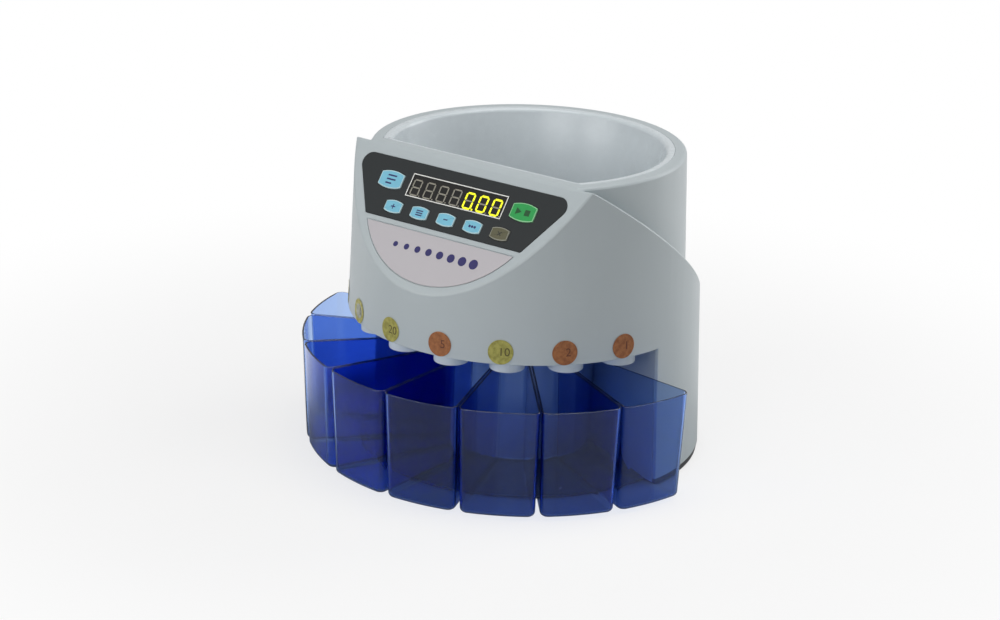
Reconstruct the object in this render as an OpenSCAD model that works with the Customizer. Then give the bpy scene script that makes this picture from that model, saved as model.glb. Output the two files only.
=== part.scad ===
// Counter-top coin sorting and counting machine.
// The drum axis is vertical, the console and the bins face -Y, and the table is at Z = 0.

/* [Housing] */
// Height of the hopper rim above the table
total_h = 260; // [250:1:280]
// Outer radius of the drum at its rim
rim_r = 131; // [128:0.5:134]
// Outer radius of the housing at the lower edge of the skirt
skirt_r = 148.5; // [148:0.5:153]
// Height of the skirt's lower edge above the table
skirt_z = 119.5; // [117:0.5:124]
// Moulding draft of the drum and the housing, widening downwards
draft = 2; // [1:0.25:2.5]
// Wall of the housing
wall = 3; // [2:0.25:3.5]
// Half angle of the open bay at the front, from straight ahead
bay_half = 84; // [82:0.5:88]
// Height at which the housing stands on the rim of the base
base_rim_z = 6.4; // [5.6:0.2:8]
// Distance by which the base rim draws in towards the table
base_rim_lean = 1; // [0:0.5:4]

/* [Console] */
// Distance of the console's top edge in front of the drum axis
console_y = 77.8; // [76:0.2:80]
// Slope of the console from the horizontal
console_slope = 53.3; // [50:0.5:56]
// Slope of the shoulder that falls away behind the console
shoulder_slope = 36; // [34:0.5:38]
// Half length of the keypad plate at its top
pad_half_top = 104; // [102:0.5:106]
// Half length of the keypad plate at its bottom
pad_half_bottom = 80; // [78:0.5:82]
// Distance of the keypad plate's top edge down the console
pad_top = 10; // [9:0.5:11]
// Distance of the keypad plate's bottom edge down the console
pad_bottom = 61.5; // [60:0.5:63]
// Thickness of the keypad plate
pad_t = 1.6; // [1.2:0.1:2.4]
// Height by which the keypad plate stands proud of the console
pad_proud = 0.4; // [0.2:0.1:0.6]
// Distance of the label plate's straight edge down the console
label_top = 66; // [65:0.5:67]
// Distance of the label plate's lowest point down the console
label_bottom = 108.5; // [106:0.5:110]
// Half length of the label plate
label_half = 75.5; // [73:0.5:77]
// Thickness of the label plate
label_t = 1; // [0.8:0.1:1.4]
// Height by which the label plate stands proud of the console
label_proud = 0.3; // [0.1:0.1:0.5]

/* [Keys and display] */
// Length of the display window
window_l = 97.6; // [94:0.2:100]
// Height of the display window
window_h = 20.6; // [18:0.2:21]
// Thickness of the display window
window_t = 1.2; // [0.8:0.1:1.4]
// Distance of the display's middle down the console
window_s = 29.6; // [28:0.2:30]
// Length of the small keys
small_key_l = 17.5; // [15:0.5:18.5]
// Height of the small keys
small_key_h = 11.5; // [10:0.5:12]
// Pitch of the small keys
key_pitch = 27.2; // [25:0.2:28]
// Distance of the small keys' middle down the console
key_row_s = 51.3; // [51:0.1:51.6]
// Length of the two large keys
large_key_l = 24; // [22:0.5:25]
// Height of the two large keys
large_key_h = 16; // [14:0.5:17]
// Distance of the large keys' middle from the middle of the console
large_key_x = 67.5; // [66:0.5:69]
// Height of a key above the keypad plate
key_rise = 0.8; // [0.6:0.1:2]
// Travel of a key
key_travel = 0.8; // [0.5:0.1:1]

/* [Hopper] */
// Inner radius of the hopper at its mouth
mouth_r = 114.5; // [112:0.5:116]
// Outer radius of the hopper's rim ring
ring_r = 121.1; // [120:0.5:122]
// Distance of the mouth's straight edge in front of the drum axis
mouth_front = 64.6; // [63:0.2:65.6]
// Wall of the hopper
hopper_wall = 2.2; // [1.8:0.1:2.6]
// Inner radius of the hopper at its lower end
outlet_r = 92; // [88:0.5:94]
// Height of the hopper's lower end above the table
outlet_z = 158; // [156:0.5:162]

/* [Sorting] */
// Diameters of the coins from the first bin to the last
coin_d = [16.25, 18.75, 19.75, 21.25, 22.25, 23.25, 24.25, 25.75];
// Height of the sorting plate's upper face
track_z = 147; // [146:0.5:149]
// Thickness of the sorting plate
track_t = 2.5; // [2:0.1:3]
// Inner radius of the coin rail, which the coins run along
rail_r = 124.3; // [123:0.1:125]
// Outer radius of the sorting plate
track_r = 129; // [128:0.5:130]
// Radius of the turning disc
disc_r = 96; // [90:0.5:98]
// Thickness of the turning disc
disc_t = 2; // [1.5:0.1:2.4]
// Number of the sweeper's fingers
fingers = 12; // [8:1:16]
// Radius on which the nozzles stand
nozzle_ring_r = 130; // [128:0.5:130.5]
// Bore of a nozzle
nozzle_bore = 26.4; // [26.2:0.1:26.6]
// Outer diameter of a nozzle
nozzle_d = 28.4; // [28.2:0.1:28.6]
// Length by which a nozzle hangs below the skirt
nozzle_drop = 8.5; // [6:0.5:11]

/* [Drive] */
// Gear module
gear_m = 1; // [1:1:1]
// Teeth of the disc gear
disc_teeth = 45; // [45:3:51]
// Teeth of the motor pinion
pinion_teeth = 15; // [15:3:18]
// Face width of the gears
gear_w = 6; // [4:0.5:6.5]
// Diameter of the spindle
spindle_d = 10; // [8:0.5:12]
// Outer diameter of a bearing
bearing_d = 22; // [20:0.5:24]
// Width of a bearing
bearing_w = 6; // [5:0.5:7]
// Diameter of the gear motor
motor_d = 42; // [38:1:44]
// Length of the gear motor
motor_l = 56; // [50:1:70]
// Diameter of the motor shaft
motor_shaft_d = 6; // [5:0.5:8]

/* [Coin badges] */
// Diameter of the badges on the skirt
badge_d = 20.5; // [18:0.5:22]
// Angle between neighbouring badges
badge_pitch = 19.8; // [19:0.1:20.8]
// Height of the badges' centres above the table
badge_z = 130; // [128:0.5:132]
// Thickness of the badges
badge_t = 0.5; // [0.4:0.1:0.8]

/* [Bins] */
// Number of bins
bins = 8; // [8:1:8]
// Angle between neighbouring bins
bin_pitch = 20.75; // [20.25:0.05:20.9]
// Outer radius of the bins at their rims
bin_r = 187.5; // [183:0.5:192]
// Inner radius of the bins at their rims
bin_inner_r = 66.5; // [66:0.5:72]
// Height of the bins' rims above the table
bin_top_z = 94.2; // [90:0.2:98]
// Gap between neighbouring bins at their rims
bin_gap = 1; // [0.8:0.2:4]
// Amount by which the outer wall of a bin leans in from rim to floor
bin_lean = 4; // [3:0.5:6]
// Amount by which each side wall of a bin leans in from rim to floor
bin_side_lean = 1.3; // [1:0.1:2.5]
// Wall of a bin
bin_wall = 1.5; // [1.4:0.1:2.2]
// Radius of the bins' outer vertical corners
bin_corner = 7; // [5:0.5:9]
// Radius of the bins' inner vertical corners
bin_back_corner = 4; // [3:0.5:5]
// Height over which the foot of a bin is rounded
bin_foot = 5; // [3:0.5:7]

/* [Base] */
// Radius of the base plate inside the bay
bay_plate_r = 139; // [136:0.5:142]
// Thickness of the base plate
base_t = 2; // [1.6:0.1:2.6]
// Height of the feet
foot_h = 1; // [0.8:0.1:1.4]
// Radius of the feet
foot_r = 10; // [8:0.5:12]
// Radius of the inner column
core_r = 62; // [60:0.5:63]
// Angle by which the bay's side walls turn back from the radius
bay_turn = 20; // [16:0.5:24]
// Thickness of the bay walls
bay_wall = 2.5; // [2:0.1:3]
// Height of the bay's ceiling above the skirt's lower edge
ceiling_rise = 3.5; // [2.5:0.5:4]

/* [Rear panel] */
// Length of the rear panel's recess
recess_l = 96; // [94:0.5:100]
// Height of the rear panel's recess
recess_h = 54; // [50:0.5:56]
// Height of the recess's lower edge above the table
recess_z = 22; // [20:0.5:24]
// Distance of the rear panel's outer face behind the drum axis
panel_y = 136; // [134:0.5:138]
// Thickness of the rear panel
panel_t = 2; // [1.5:0.1:2.5]

/* [Hidden] */
$fn = 96;
eps = 0.01;
big = 400;
// Clearance of fixed pieces, of running shafts, of keys in their holes and under resting pieces
fit = 0.15;
run_gap = 0.05;
key_gap = 0.25;
rest_gap = 0.3;
t_draft = tan(draft);
base_top = foot_h + base_t;
base_r = skirt_r + t_draft * (skirt_z - base_rim_z);
bay_edge_r = skirt_r - wall;
front_reach = bin_corner + sqrt(pow(bin_r - bin_corner, 2) - pow(bin_gap / 2 + bin_corner, 2));
axis_y = (front_reach - base_r) / 2;
ceiling_z = skirt_z + ceiling_rise;
ceiling_top = ceiling_z + bay_wall;
deck_t = 3;
deck_r = core_r + 10;
deck_top = ceiling_top + deck_t;
motor_offset = gear_m * (disc_teeth + pinion_teeth) / 2;
gear_z = deck_top + 3;
hub_z = track_z - track_t - bearing_w + 1;
disc_z = track_z + 2.2;
rail_t = 3;
rail_h = 8;
chute_z = track_z - track_t;
chute_play = 0.5;
run_clear = 2;
sensor_r = 74;
sensor_w = 8;
nozzle_top = ceiling_top + 2.5;
nozzle_bottom = skirt_z - nozzle_drop;
nozzle_wall = (nozzle_d - nozzle_bore) / 2;
recess_wall = 2.5;
board_t = 1.6;
board_depth = 8;
bin_floor_z = base_top + rest_gap;
bin_half = bin_pitch / 2;
lip = 5;
ledge = 2.2;
rim_flange = 5;
ring_t = 2.2;
seat_w = 3;
outlet_clear = 1.5;
funnel_lean = atan2(outlet_r + outlet_clear - mouth_front, total_h - outlet_z);
ring_front = mouth_front + hopper_wall;
post_ring_r = deck_r + 15;
screw_r = 1.5;
boss_r = 4.5;
boss_ring_r = base_r - boss_r - 2;
liner_back = 110;
boss_angles = [112, 150, 210, 248];
deck_screw_angles = [-100, -35, 35, 100];
bay_post_angles = [-70, -25, 25, 70];
pad_boss_x = 62;
pad_boss_s = [6.5, 67];
main_board_z = base_top + 8;
main_board_pos = [40, 95];
main_board_size = [86, 50];
supply_size = [62, 52, 42];
supply_pos = [-46, 92];
small_names = ["key_plus", "key_batch", "key_minus", "key_set", "key_clear"];
switch_h = 2.8;
tip_h = 0.8;
neck_r = spindle_d / 2 - 1;
neck_l = 15;
cone_h = 10;
motor_bore_l = 18;
tilt = 8;
inlet_x = -28;
switch_x = 6;
port_x = 31;
panel_mid_z = recess_z + recess_h / 2;

function shell_r(z) = skirt_r + t_draft * (skirt_z - z);
function drum_r(z) = rim_r + t_draft * (total_h - z);
function bin_angle(i) = ((bins + 1) / 2 - i) * bin_pitch;
function badge_angle(i) = ((bins + 1) / 2 - i) * badge_pitch;
function seat_front(depth) = ring_front + depth * tan(funnel_lean) + fit;
function hole_ring_r(d) = rail_r - d / 2 - 0.6;
function key_stem_z() = -board_depth + switch_h + tip_h + key_travel + fit;

// Turns a piece drawn straight ahead, towards -Y, to a bearing measured from there towards +X
module bearing_at(a) {
    rotate([0, 0, a]) children();
}

module on_axis() {
    translate([0, axis_y, 0]) children();
}

// Console frame: X along the console, Y up the slope, Z out of the face
module on_console() {
    translate([0, -console_y, total_h]) rotate([console_slope, 0, 0]) children();
}

module on_shoulder() {
    translate([0, -console_y, total_h]) rotate([-shoulder_slope, 0, 0]) children();
}

module above_console(depth) {
    on_console() translate([-big, -big, -depth]) cube([2 * big, 2 * big, big]);
}

module above_shoulder(depth) {
    on_shoulder() translate([-big, -big, -depth]) cube([2 * big, 2 * big, big]);
}

module shell_cone(z0, z1, inset) {
    translate([0, 0, z0]) cylinder(h = z1 - z0, r1 = shell_r(z0) - inset, r2 = shell_r(z1) - inset);
}

module drum_cone(z0, z1, inset) {
    translate([0, 0, z0]) cylinder(h = z1 - z0, r1 = drum_r(z0) - inset, r2 = drum_r(z1) - inset);
}

// Plan sector of the bay, straight ahead, from the axis outwards
module bay_sector(half, r) {
    steps = 8;
    polygon(concat(
        [[0, 0]],
        [for (i = [0:steps]) let(a = half * (2 * i / steps - 1)) r / cos(half / steps) * [sin(a), -cos(a)]]
    ));
}

// Plan of the rear chamber, behind the two bay walls, drawn in by an inset
module rear_plan(inset) {
    for (side = [-1, 1])
        translate([side * bay_edge_r * sin(bay_half), -bay_edge_r * cos(bay_half)])
            rotate(side * (bay_half - bay_turn - 90))
                translate([-big, inset]) square([2 * big, big]);
}

module chamber_plan(inset) {
    rear_plan(inset);
    circle(r = core_r - inset);
}

module d_plan(r, front) {
    intersection() {
        circle(r = r);
        translate([-r, -front]) square([2 * r, 2 * r]);
    }
}

module screw(head_r, head_h, r, l) {
    cylinder(h = head_h, r = head_r);
    translate([0, 0, head_h - eps]) cylinder(h = l + eps, r = r);
}

// Base

module base_rim_cone() {
    translate([0, 0, foot_h]) cylinder(h = base_rim_z - foot_h, r1 = base_r - base_rim_lean, r2 = base_r);
}

module base_plate() {
    color("dimgray") difference() {
        union() {
            translate([0, 0, foot_h]) cylinder(h = base_t, r = bay_plate_r);
            translate([0, 0, foot_h]) difference() {
                cylinder(h = base_t, r = base_r - base_rim_lean);
                translate([0, 0, -1]) linear_extrude(height = base_t + 2) bay_sector(bay_half, base_r + 5);
            }
            difference() {
                base_rim_cone();
                translate([0, 0, base_top]) cylinder(h = base_rim_z, r = base_r - wall);
                linear_extrude(height = base_rim_z + 1) bay_sector(bay_half, base_r + 5);
            }
            intersection() {
                for (a = boss_angles) bearing_at(a)
                    translate([0, -boss_ring_r, foot_h]) cylinder(h = base_rim_z - foot_h, r = boss_r);
                base_rim_cone();
            }
            for (x = [-1, 1], y = [-1, 1])
                translate([
                    main_board_pos[0] + x * (main_board_size[0] / 2 - 4),
                    main_board_pos[1] + y * (main_board_size[1] / 2 - 4),
                    foot_h
                ]) cylinder(h = main_board_z - foot_h, r = 3);
        }
        for (a = boss_angles) bearing_at(a) translate([0, -boss_ring_r, 0]) {
            cylinder(h = base_rim_z + 1, r = screw_r + fit);
            cylinder(h = foot_h + 1.5, r = 3 + fit);
        }
    }
}

module rubber_feet() {
    color("black") for (a = [45, 135, 225, 315])
        bearing_at(a) translate([0, -(bay_plate_r - foot_r - 8), 0]) cylinder(h = foot_h, r = foot_r);
}

module base_screws() {
    color("silver") for (a = boss_angles)
        bearing_at(a) translate([0, -boss_ring_r, foot_h]) screw(3, 1.5, screw_r, 12);
}

// Housing

module housing_solid() {
    difference() {
        union() {
            difference() {
                shell_cone(base_rim_z, total_h, 0);
                above_shoulder(0);
            }
            drum_cone(80, total_h, 0);
        }
        above_console(0);
        translate([0, 0, total_h + big / 2]) cube([big, big, big], center = true);
    }
}

module housing_cavity() {
    difference() {
        shell_cone(0, total_h, wall);
        above_shoulder(wall);
        above_console(wall);
    }
    difference() {
        drum_cone(70, total_h - rim_flange, wall);
        above_console(wall);
    }
    translate([0, 0, total_h - rim_flange - 1])
        linear_extrude(height = rim_flange + 1 - ring_t) d_plan(ring_r - seat_w, seat_front(rim_flange));
    translate([0, 0, total_h - ring_t])
        linear_extrude(height = ring_t + 1) d_plan(ring_r + fit, seat_front(ring_t));
}

module recess_box(grow, y0, y1) {
    translate([-recess_l / 2 - grow, y0, recess_z - grow])
        cube([recess_l + 2 * grow, y1 - y0, recess_h + 2 * grow]);
}

module pad_outline(inset) {
    r = 9 - min(inset, 5);
    hull() {
        for (x = [-1, 1]) {
            translate([x * (pad_half_top - 9), -pad_top - 9]) circle(r = r, $fn = 32);
            translate([x * (pad_half_bottom - 1.5), -pad_bottom + 1.5]) circle(r = max(1.5 - inset, 0.3), $fn = 16);
        }
    }
}

module pad_window_outline() {
    top = pad_top + lip;
    bottom = pad_bottom - ledge;
    polygon([
        [-pad_half_top + 2 * lip, -top],
        [pad_half_top - 2 * lip, -top],
        [pad_half_top - 2 * lip, -top - 8],
        [pad_half_bottom - lip, -bottom],
        [-pad_half_bottom + lip, -bottom],
        [-pad_half_top + 2 * lip, -top - 8]
    ]);
}

module label_outline(inset) {
    rise = label_bottom - label_top;
    r = (label_half * label_half + rise * rise) / (2 * rise);
    intersection() {
        translate([0, -label_bottom + r]) circle(r = r - inset, $fn = 180);
        translate([-label_half, -label_bottom - 1]) square([2 * label_half, rise + 1 - inset]);
    }
}

module housing() {
    color("lightsteelblue") difference() {
        union() {
            difference() {
                housing_solid();
                housing_cavity();
            }
            intersection() {
                shell_cone(base_rim_z, skirt_z, 1);
                recess_box(recess_wall, panel_y - panel_t - 2, skirt_r + 20);
            }
            for (a = boss_angles) intersection() {
                bearing_at(a) translate([0, -boss_ring_r, base_rim_z]) cylinder(h = 24, r = boss_r);
                shell_cone(0, skirt_z, 1);
            }
            for (x = [-1, 1], s = pad_boss_s) intersection() {
                on_console() translate([x * pad_boss_x, -s, -board_depth]) cylinder(h = board_depth - 1, r = 3);
                housing_solid();
            }
        }
        recess_box(0, panel_y - panel_t, big);
        recess_box(-lip + 2, 0, big);
        translate([0, 0, -1]) linear_extrude(height = skirt_z + 1) bay_sector(bay_half, big);
        on_console() translate([0, 0, pad_proud - pad_t])
            linear_extrude(height = pad_t) pad_outline(-fit);
        on_console() translate([0, 0, -wall - 2]) linear_extrude(height = wall + 3) pad_window_outline();
        on_console() translate([0, 0, label_proud - label_t])
            linear_extrude(height = label_t) label_outline(-fit);
        for (a = boss_angles) bearing_at(a)
            translate([0, -boss_ring_r, base_top]) cylinder(h = 14, r = screw_r);
        for (x = [-1, 1], s = pad_boss_s) on_console()
            translate([x * pad_boss_x, -s, -board_depth - 1]) cylinder(h = 7, r = 1.1);
    }
}

module bay_liner() {
    color("gainsboro") difference() {
        union() {
            intersection() {
                translate([0, 0, base_top]) linear_extrude(height = ceiling_top - base_top) difference() {
                    chamber_plan(0);
                    chamber_plan(bay_wall);
                }
                shell_cone(0, skirt_z + 20, wall + fit);
                translate([-big, -big, 0]) cube([2 * big, big + liner_back, big]);
            }
            intersection() {
                translate([0, 0, ceiling_z]) linear_extrude(height = bay_wall) difference() {
                    circle(r = skirt_r);
                    chamber_plan(bay_wall - eps);
                }
                shell_cone(0, skirt_z + 20, wall + fit);
            }
            for (a = bay_post_angles) bearing_at(a)
                translate([0, -post_ring_r, ceiling_z]) cylinder(h = track_z - track_t - ceiling_z, r = 4);
        }
        for (i = [1:bins]) bearing_at(bin_angle(i))
            translate([0, -nozzle_ring_r, ceiling_z - 1]) cylinder(h = bay_wall + 2, r = nozzle_d / 2 + fit);
        for (a = deck_screw_angles) bearing_at(a)
            translate([0, -core_r + bay_wall / 2, ceiling_top - 8]) cylinder(h = 9, r = 1);
    }
}

// Hopper

module funnel(extra) {
    difference() {
        translate([0, 0, outlet_z - eps])
            cylinder(h = total_h - outlet_z + 2 * eps, r1 = outlet_r + extra, r2 = mouth_r + extra);
        translate([0, -mouth_front - extra, total_h]) rotate([-funnel_lean, 0, 0])
            translate([-big, -big, -big]) cube([2 * big, big, 2 * big]);
    }
}

module hopper() {
    color("lightgray") difference() {
        union() {
            intersection() {
                funnel(hopper_wall);
                translate([0, 0, outlet_z]) cylinder(h = total_h - outlet_z, r = ring_r);
            }
            translate([0, 0, total_h - ring_t])
                linear_extrude(height = ring_t) d_plan(ring_r, ring_front);
        }
        funnel(0);
        translate([0, 0, outlet_z - 1]) cylinder(h = 1.5, r = outlet_r);
    }
}

// Sorting works

module sorting_plate() {
    color("silver") difference() {
        union() {
            translate([0, 0, track_z - track_t]) cylinder(h = track_t, r = track_r);
            translate([0, 0, hub_z - 1]) cylinder(h = track_z - hub_z, r = bearing_d / 2 + 3);
        }
        translate([0, 0, hub_z - 2]) cylinder(h = bearing_w + 2 + fit, r = bearing_d / 2 + run_gap / 2);
        translate([0, 0, hub_z]) cylinder(h = track_z, r = bearing_d / 2 - 2);
        for (i = [1:bins]) bearing_at(bin_angle(i))
            translate([0, -hole_ring_r(coin_d[i - 1]), track_z - track_t - 1])
                cylinder(h = track_t + 2, r = coin_d[i - 1] / 2 + 0.5);
    }
}

module coin_rail() {
    color("gainsboro") translate([0, 0, track_z]) difference() {
        cylinder(h = rail_h, r = rail_r + rail_t);
        translate([0, 0, -1]) cylinder(h = rail_h + 2, r = rail_r);
    }
}

module chute_path(i, r) {
    r0 = hole_ring_r(coin_d[i - 1]);
    lean = atan2(nozzle_ring_r - r0, chute_z - nozzle_top);
    bearing_at(bin_angle(i)) translate([0, -(r0 + nozzle_ring_r) / 2, (chute_z + nozzle_top) / 2])
        rotate([-lean, 0, 0]) cylinder(h = 60, r = r, center = true);
}

module chute_ring() {
    color("whitesmoke") intersection() {
        difference() {
            union() {
                translate([0, 0, chute_z - 2]) linear_extrude(height = 2) difference() {
                    circle(r = track_r);
                    circle(r = disc_r + run_clear);
                    rotate(180) bay_sector(180 - bay_half, big);
                }
                for (i = [1:bins]) chute_path(i, nozzle_d / 2 + chute_play);
            }
            for (i = [1:bins]) chute_path(i, nozzle_bore / 2 + chute_play);
        }
        translate([0, 0, nozzle_top + rest_gap]) cylinder(h = chute_z - nozzle_top - rest_gap, r = bay_edge_r - 1);
    }
}

module sensor_board() {
    color("seagreen") {
        translate([0, 0, chute_z - sensor_w / 2 - board_t]) linear_extrude(height = board_t) difference() {
            circle(r = sensor_r + sensor_w);
            circle(r = sensor_r - sensor_w / 2);
            rotate(180) bay_sector(180 - bay_half, big);
        }
        for (i = [1:bins]) bearing_at(bin_angle(i))
            translate([-sensor_w / 2, -sensor_r - sensor_w * 3 / 4, chute_z - sensor_w / 2 - eps])
                cube([sensor_w, sensor_w, sensor_w / 2 + eps]);
    }
}

module coin_nozzle(i) {
    color("whitesmoke") bearing_at(bin_angle(i)) translate([0, -nozzle_ring_r, 0]) difference() {
        union() {
            translate([0, 0, nozzle_bottom]) cylinder(h = nozzle_top - nozzle_bottom, r = nozzle_d / 2);
            translate([0, 0, ceiling_top]) cylinder(h = nozzle_top - ceiling_top, r = nozzle_d / 2 + 0.8);
        }
        translate([0, 0, nozzle_bottom - 1]) cylinder(h = 40, r = nozzle_bore / 2);
    }
}

module coin_disc() {
    color("silver") difference() {
        union() {
            translate([0, 0, disc_z]) cylinder(h = disc_t, r = disc_r);
            translate([0, 0, disc_z + disc_t - eps]) cylinder(h = cone_h, r1 = 34, r2 = 12);
        }
        translate([0, 0, disc_z - 1]) cylinder(h = 20, r = neck_r + run_gap);
    }
}

module disc_sweeper() {
    finger_h = 5;
    color("darkorange") {
        translate([0, 0, track_z + 0.4]) difference() {
            cylinder(h = disc_z - track_z - 0.4, r = disc_r);
            translate([0, 0, -1]) cylinder(h = 5, r = disc_r - 14);
        }
        difference() {
            for (i = [0:fingers - 1]) rotate([0, 0, 360 * i / fingers])
                translate([-1.5, disc_r - 2, track_z + 0.4]) cube([3, rail_r - disc_r + 1.4, finger_h]);
            translate([0, 0, disc_z]) cylinder(h = finger_h, r = disc_r);
        }
    }
}

module spindle() {
    color("silver") {
        translate([0, 0, ceiling_top - 6]) cylinder(h = disc_z - ceiling_top + 6, r = spindle_d / 2);
        translate([0, 0, disc_z - eps]) cylinder(h = neck_l, r = neck_r);
    }
}

module disc_nut() {
    z = disc_z + disc_t + cone_h;
    color("gray") translate([0, 0, z]) difference() {
        cylinder(h = 6, r = 9, $fn = 6);
        translate([0, 0, -1]) cylinder(h = disc_z + neck_l - z + 2, r = neck_r + run_gap);
    }
}

// Outline of a spur gear with straight-sided teeth and play between the flanks
module gear_plan(teeth, m) {
    r = teeth * m / 2;
    outer = r + 0.85 * m;
    root = r - 1.2 * m;
    pitch = 360 / teeth;
    tip_half = pitch * 0.105;
    root_half = pitch * 0.3;
    polygon([
        for (i = [0:teeth - 1], k = [[-root_half, root], [-tip_half, outer], [tip_half, outer], [root_half, root]])
            let(a = i * pitch + k[0]) k[1] * [cos(a), sin(a)]
    ]);
}

module disc_gear() {
    color("ivory") translate([0, 0, gear_z]) difference() {
        union() {
            rotate([0, 0, 90]) linear_extrude(height = gear_w) gear_plan(disc_teeth, gear_m);
            translate([0, 0, -1.5]) cylinder(h = 2, r = spindle_d / 2 + 3);
        }
        translate([0, 0, -3]) cylinder(h = gear_w + 6, r = spindle_d / 2);
    }
}

module ball_bearing(z) {
    color("silver") translate([0, 0, z]) difference() {
        cylinder(h = bearing_w, r = bearing_d / 2);
        translate([0, 0, -1]) cylinder(h = bearing_w + 2, r = spindle_d / 2 + run_gap);
    }
}

module lower_bearing() {
    ball_bearing(deck_top - bearing_w);
}

module upper_bearing() {
    ball_bearing(hub_z);
}

module motor_deck() {
    color("gray") difference() {
        union() {
            translate([0, 0, ceiling_top]) cylinder(h = deck_t, r = deck_r);
            translate([0, 0, deck_top - bearing_w - 2]) cylinder(h = bearing_w + 2, r = bearing_d / 2 + 2.5);
        }
        translate([0, 0, deck_top - bearing_w]) cylinder(h = bearing_w + 1, r = bearing_d / 2 + run_gap / 2);
        translate([0, 0, deck_top - bearing_w - 3]) cylinder(h = 4, r = bearing_d / 2 - 2);
        translate([0, motor_offset, ceiling_top - 1]) cylinder(h = deck_t + 2, r = 9);
        for (a = deck_screw_angles) bearing_at(a)
            translate([0, -core_r + bay_wall / 2, ceiling_top - 1]) cylinder(h = deck_t + 2, r = 1 + fit);
    }
}

module deck_screws() {
    color("silver") for (a = deck_screw_angles) bearing_at(a)
        translate([0, -core_r + bay_wall / 2, deck_top + 1.6]) rotate([180, 0, 0]) screw(2.4, 1.6, 1, deck_t + 6);
}

module gear_motor() {
    clear_r = bearing_d / 2 + 2.5 + 0.3;
    color("slategray") difference() {
        translate([0, motor_offset, ceiling_top - motor_l]) {
            cylinder(h = motor_l, r = motor_d / 2);
            translate([0, 0, -14]) cylinder(h = 15, r = motor_d / 2 - 4);
        }
        translate([0, motor_offset, ceiling_top - motor_bore_l])
            cylinder(h = motor_bore_l + 2, r = motor_shaft_d / 2 + run_gap);
        translate([0, 0, ceiling_top - 12]) cylinder(h = 14, r = clear_r);
    }
}

module motor_shaft() {
    foot_z = ceiling_top - motor_bore_l + rest_gap;
    color("silver") translate([0, motor_offset, foot_z])
        cylinder(h = gear_z + gear_w + 1 - foot_z, r = motor_shaft_d / 2);
}

module motor_pinion() {
    color("goldenrod") translate([0, motor_offset, gear_z]) difference() {
        rotate([0, 0, 90 + 180 / pinion_teeth * (pinion_teeth % 2 == 0 ? 1 : 0)])
            linear_extrude(height = gear_w) gear_plan(pinion_teeth, gear_m);
        translate([0, 0, -1]) cylinder(h = gear_w + 2, r = motor_shaft_d / 2);
    }
}

// Console pieces

// Key outline: upright sides, clipped corners and bowed upper and lower edges
module key_outline(l, h, grow) {
    bow = 0.13 * h;
    cut = 0.02 * h;
    x = l / 2 + grow;
    y = h / 2 + grow;
    half = concat([[x, y - bow - cut]], [for (k = [4:-1:-4]) [(x - cut) * k / 4, y - bow * k * k / 16]]);
    polygon(concat(half, [[-x, y - bow - cut]], [for (p = half) -p], [[x, -(y - bow - cut)]]));
}

module small_key_place(i) {
    translate([(i - 2) * key_pitch, -key_row_s, 0]) children();
}

module large_key_place(side) {
    translate([side * large_key_x, -window_s, 0]) children();
}

module key_body(l, h) {
    under = pad_proud - pad_t;
    color("skyblue") {
        translate([0, 0, under - 0.5]) linear_extrude(height = key_rise + pad_t + 0.5) key_outline(l, h, -key_gap);
        translate([0, 0, under - 1.3]) linear_extrude(height = 1.2) key_outline(l, h, 0.9);
        translate([0, 0, key_stem_z()]) cylinder(h = under - key_stem_z(), r = 2);
    }
}

module keypad_plate() {
    color("#303335") on_console() difference() {
        translate([0, 0, pad_proud - pad_t]) linear_extrude(height = pad_t) pad_outline(0);
        translate([0, 0, -5]) linear_extrude(height = 10) {
            for (i = [0:4]) small_key_place(i) key_outline(small_key_l, small_key_h, 0);
            for (side = [-1, 1]) large_key_place(side) key_outline(large_key_l, large_key_h, 0);
            translate([0, -window_s]) square([window_l + 2 * fit, window_h + 2 * fit], center = true);
        }
    }
}

module label_plate() {
    color("thistle") on_console() translate([0, 0, label_proud - label_t])
        linear_extrude(height = label_t) label_outline(0.6);
}

module display_window() {
    color("darkslategray") on_console() translate([-window_l / 2, -window_s - window_h / 2, pad_proud - window_t])
        cube([window_l, window_h, window_t]);
}

module display_module() {
    top = pad_proud - window_t - rest_gap;
    color("black") on_console() translate([-window_l / 2 + 1, -window_s - window_h / 2 + 1, -board_depth])
        cube([window_l - 2, window_h - 2, top + board_depth]);
}

module keypad_board() {
    s0 = 3;
    s1 = pad_boss_s[1] + 4;
    color("seagreen") on_console() difference() {
        translate([-pad_boss_x - 18, -s1, -board_depth - board_t]) cube([2 * pad_boss_x + 36, s1 - s0, board_t]);
        for (x = [-1, 1], s = pad_boss_s)
            translate([x * pad_boss_x, -s, -board_depth - board_t - 1]) cylinder(h = board_t + 2, r = 1.2);
    }
}

module key_switches() {
    color("black") on_console() translate([0, 0, -board_depth]) {
        for (i = [0:4]) small_key_place(i) key_switch();
        for (side = [-1, 1]) large_key_place(side) key_switch();
    }
}

module key_switch() {
    translate([-3, -3, 0]) cube([6, 6, switch_h]);
    translate([0, 0, switch_h - eps]) cylinder(h = tip_h + eps, r = 1.7);
}

module board_screws() {
    color("silver") on_console() for (x = [-1, 1], s = pad_boss_s)
        translate([x * pad_boss_x, -s, -board_depth - board_t - 1.4]) screw(2.2, 1.4, 1, board_t + 5);
}

// Rear chamber

module main_board() {
    l = main_board_size[0];
    w = main_board_size[1];
    color("seagreen") translate([main_board_pos[0], main_board_pos[1], main_board_z]) {
        translate([-l / 2, -w / 2, 0]) cube([l, w, board_t]);
        translate([-20, -8, board_t - eps]) cube([18, 18, 3]);
        translate([6, -10, board_t - eps]) cube([12, 8, 3]);
        for (x = [-34, -24]) translate([x, 16, board_t - eps]) cylinder(h = 14, r = 4.5);
        translate([20, 8, board_t - eps]) cube([14, 12, 9]);
    }
}

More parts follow.
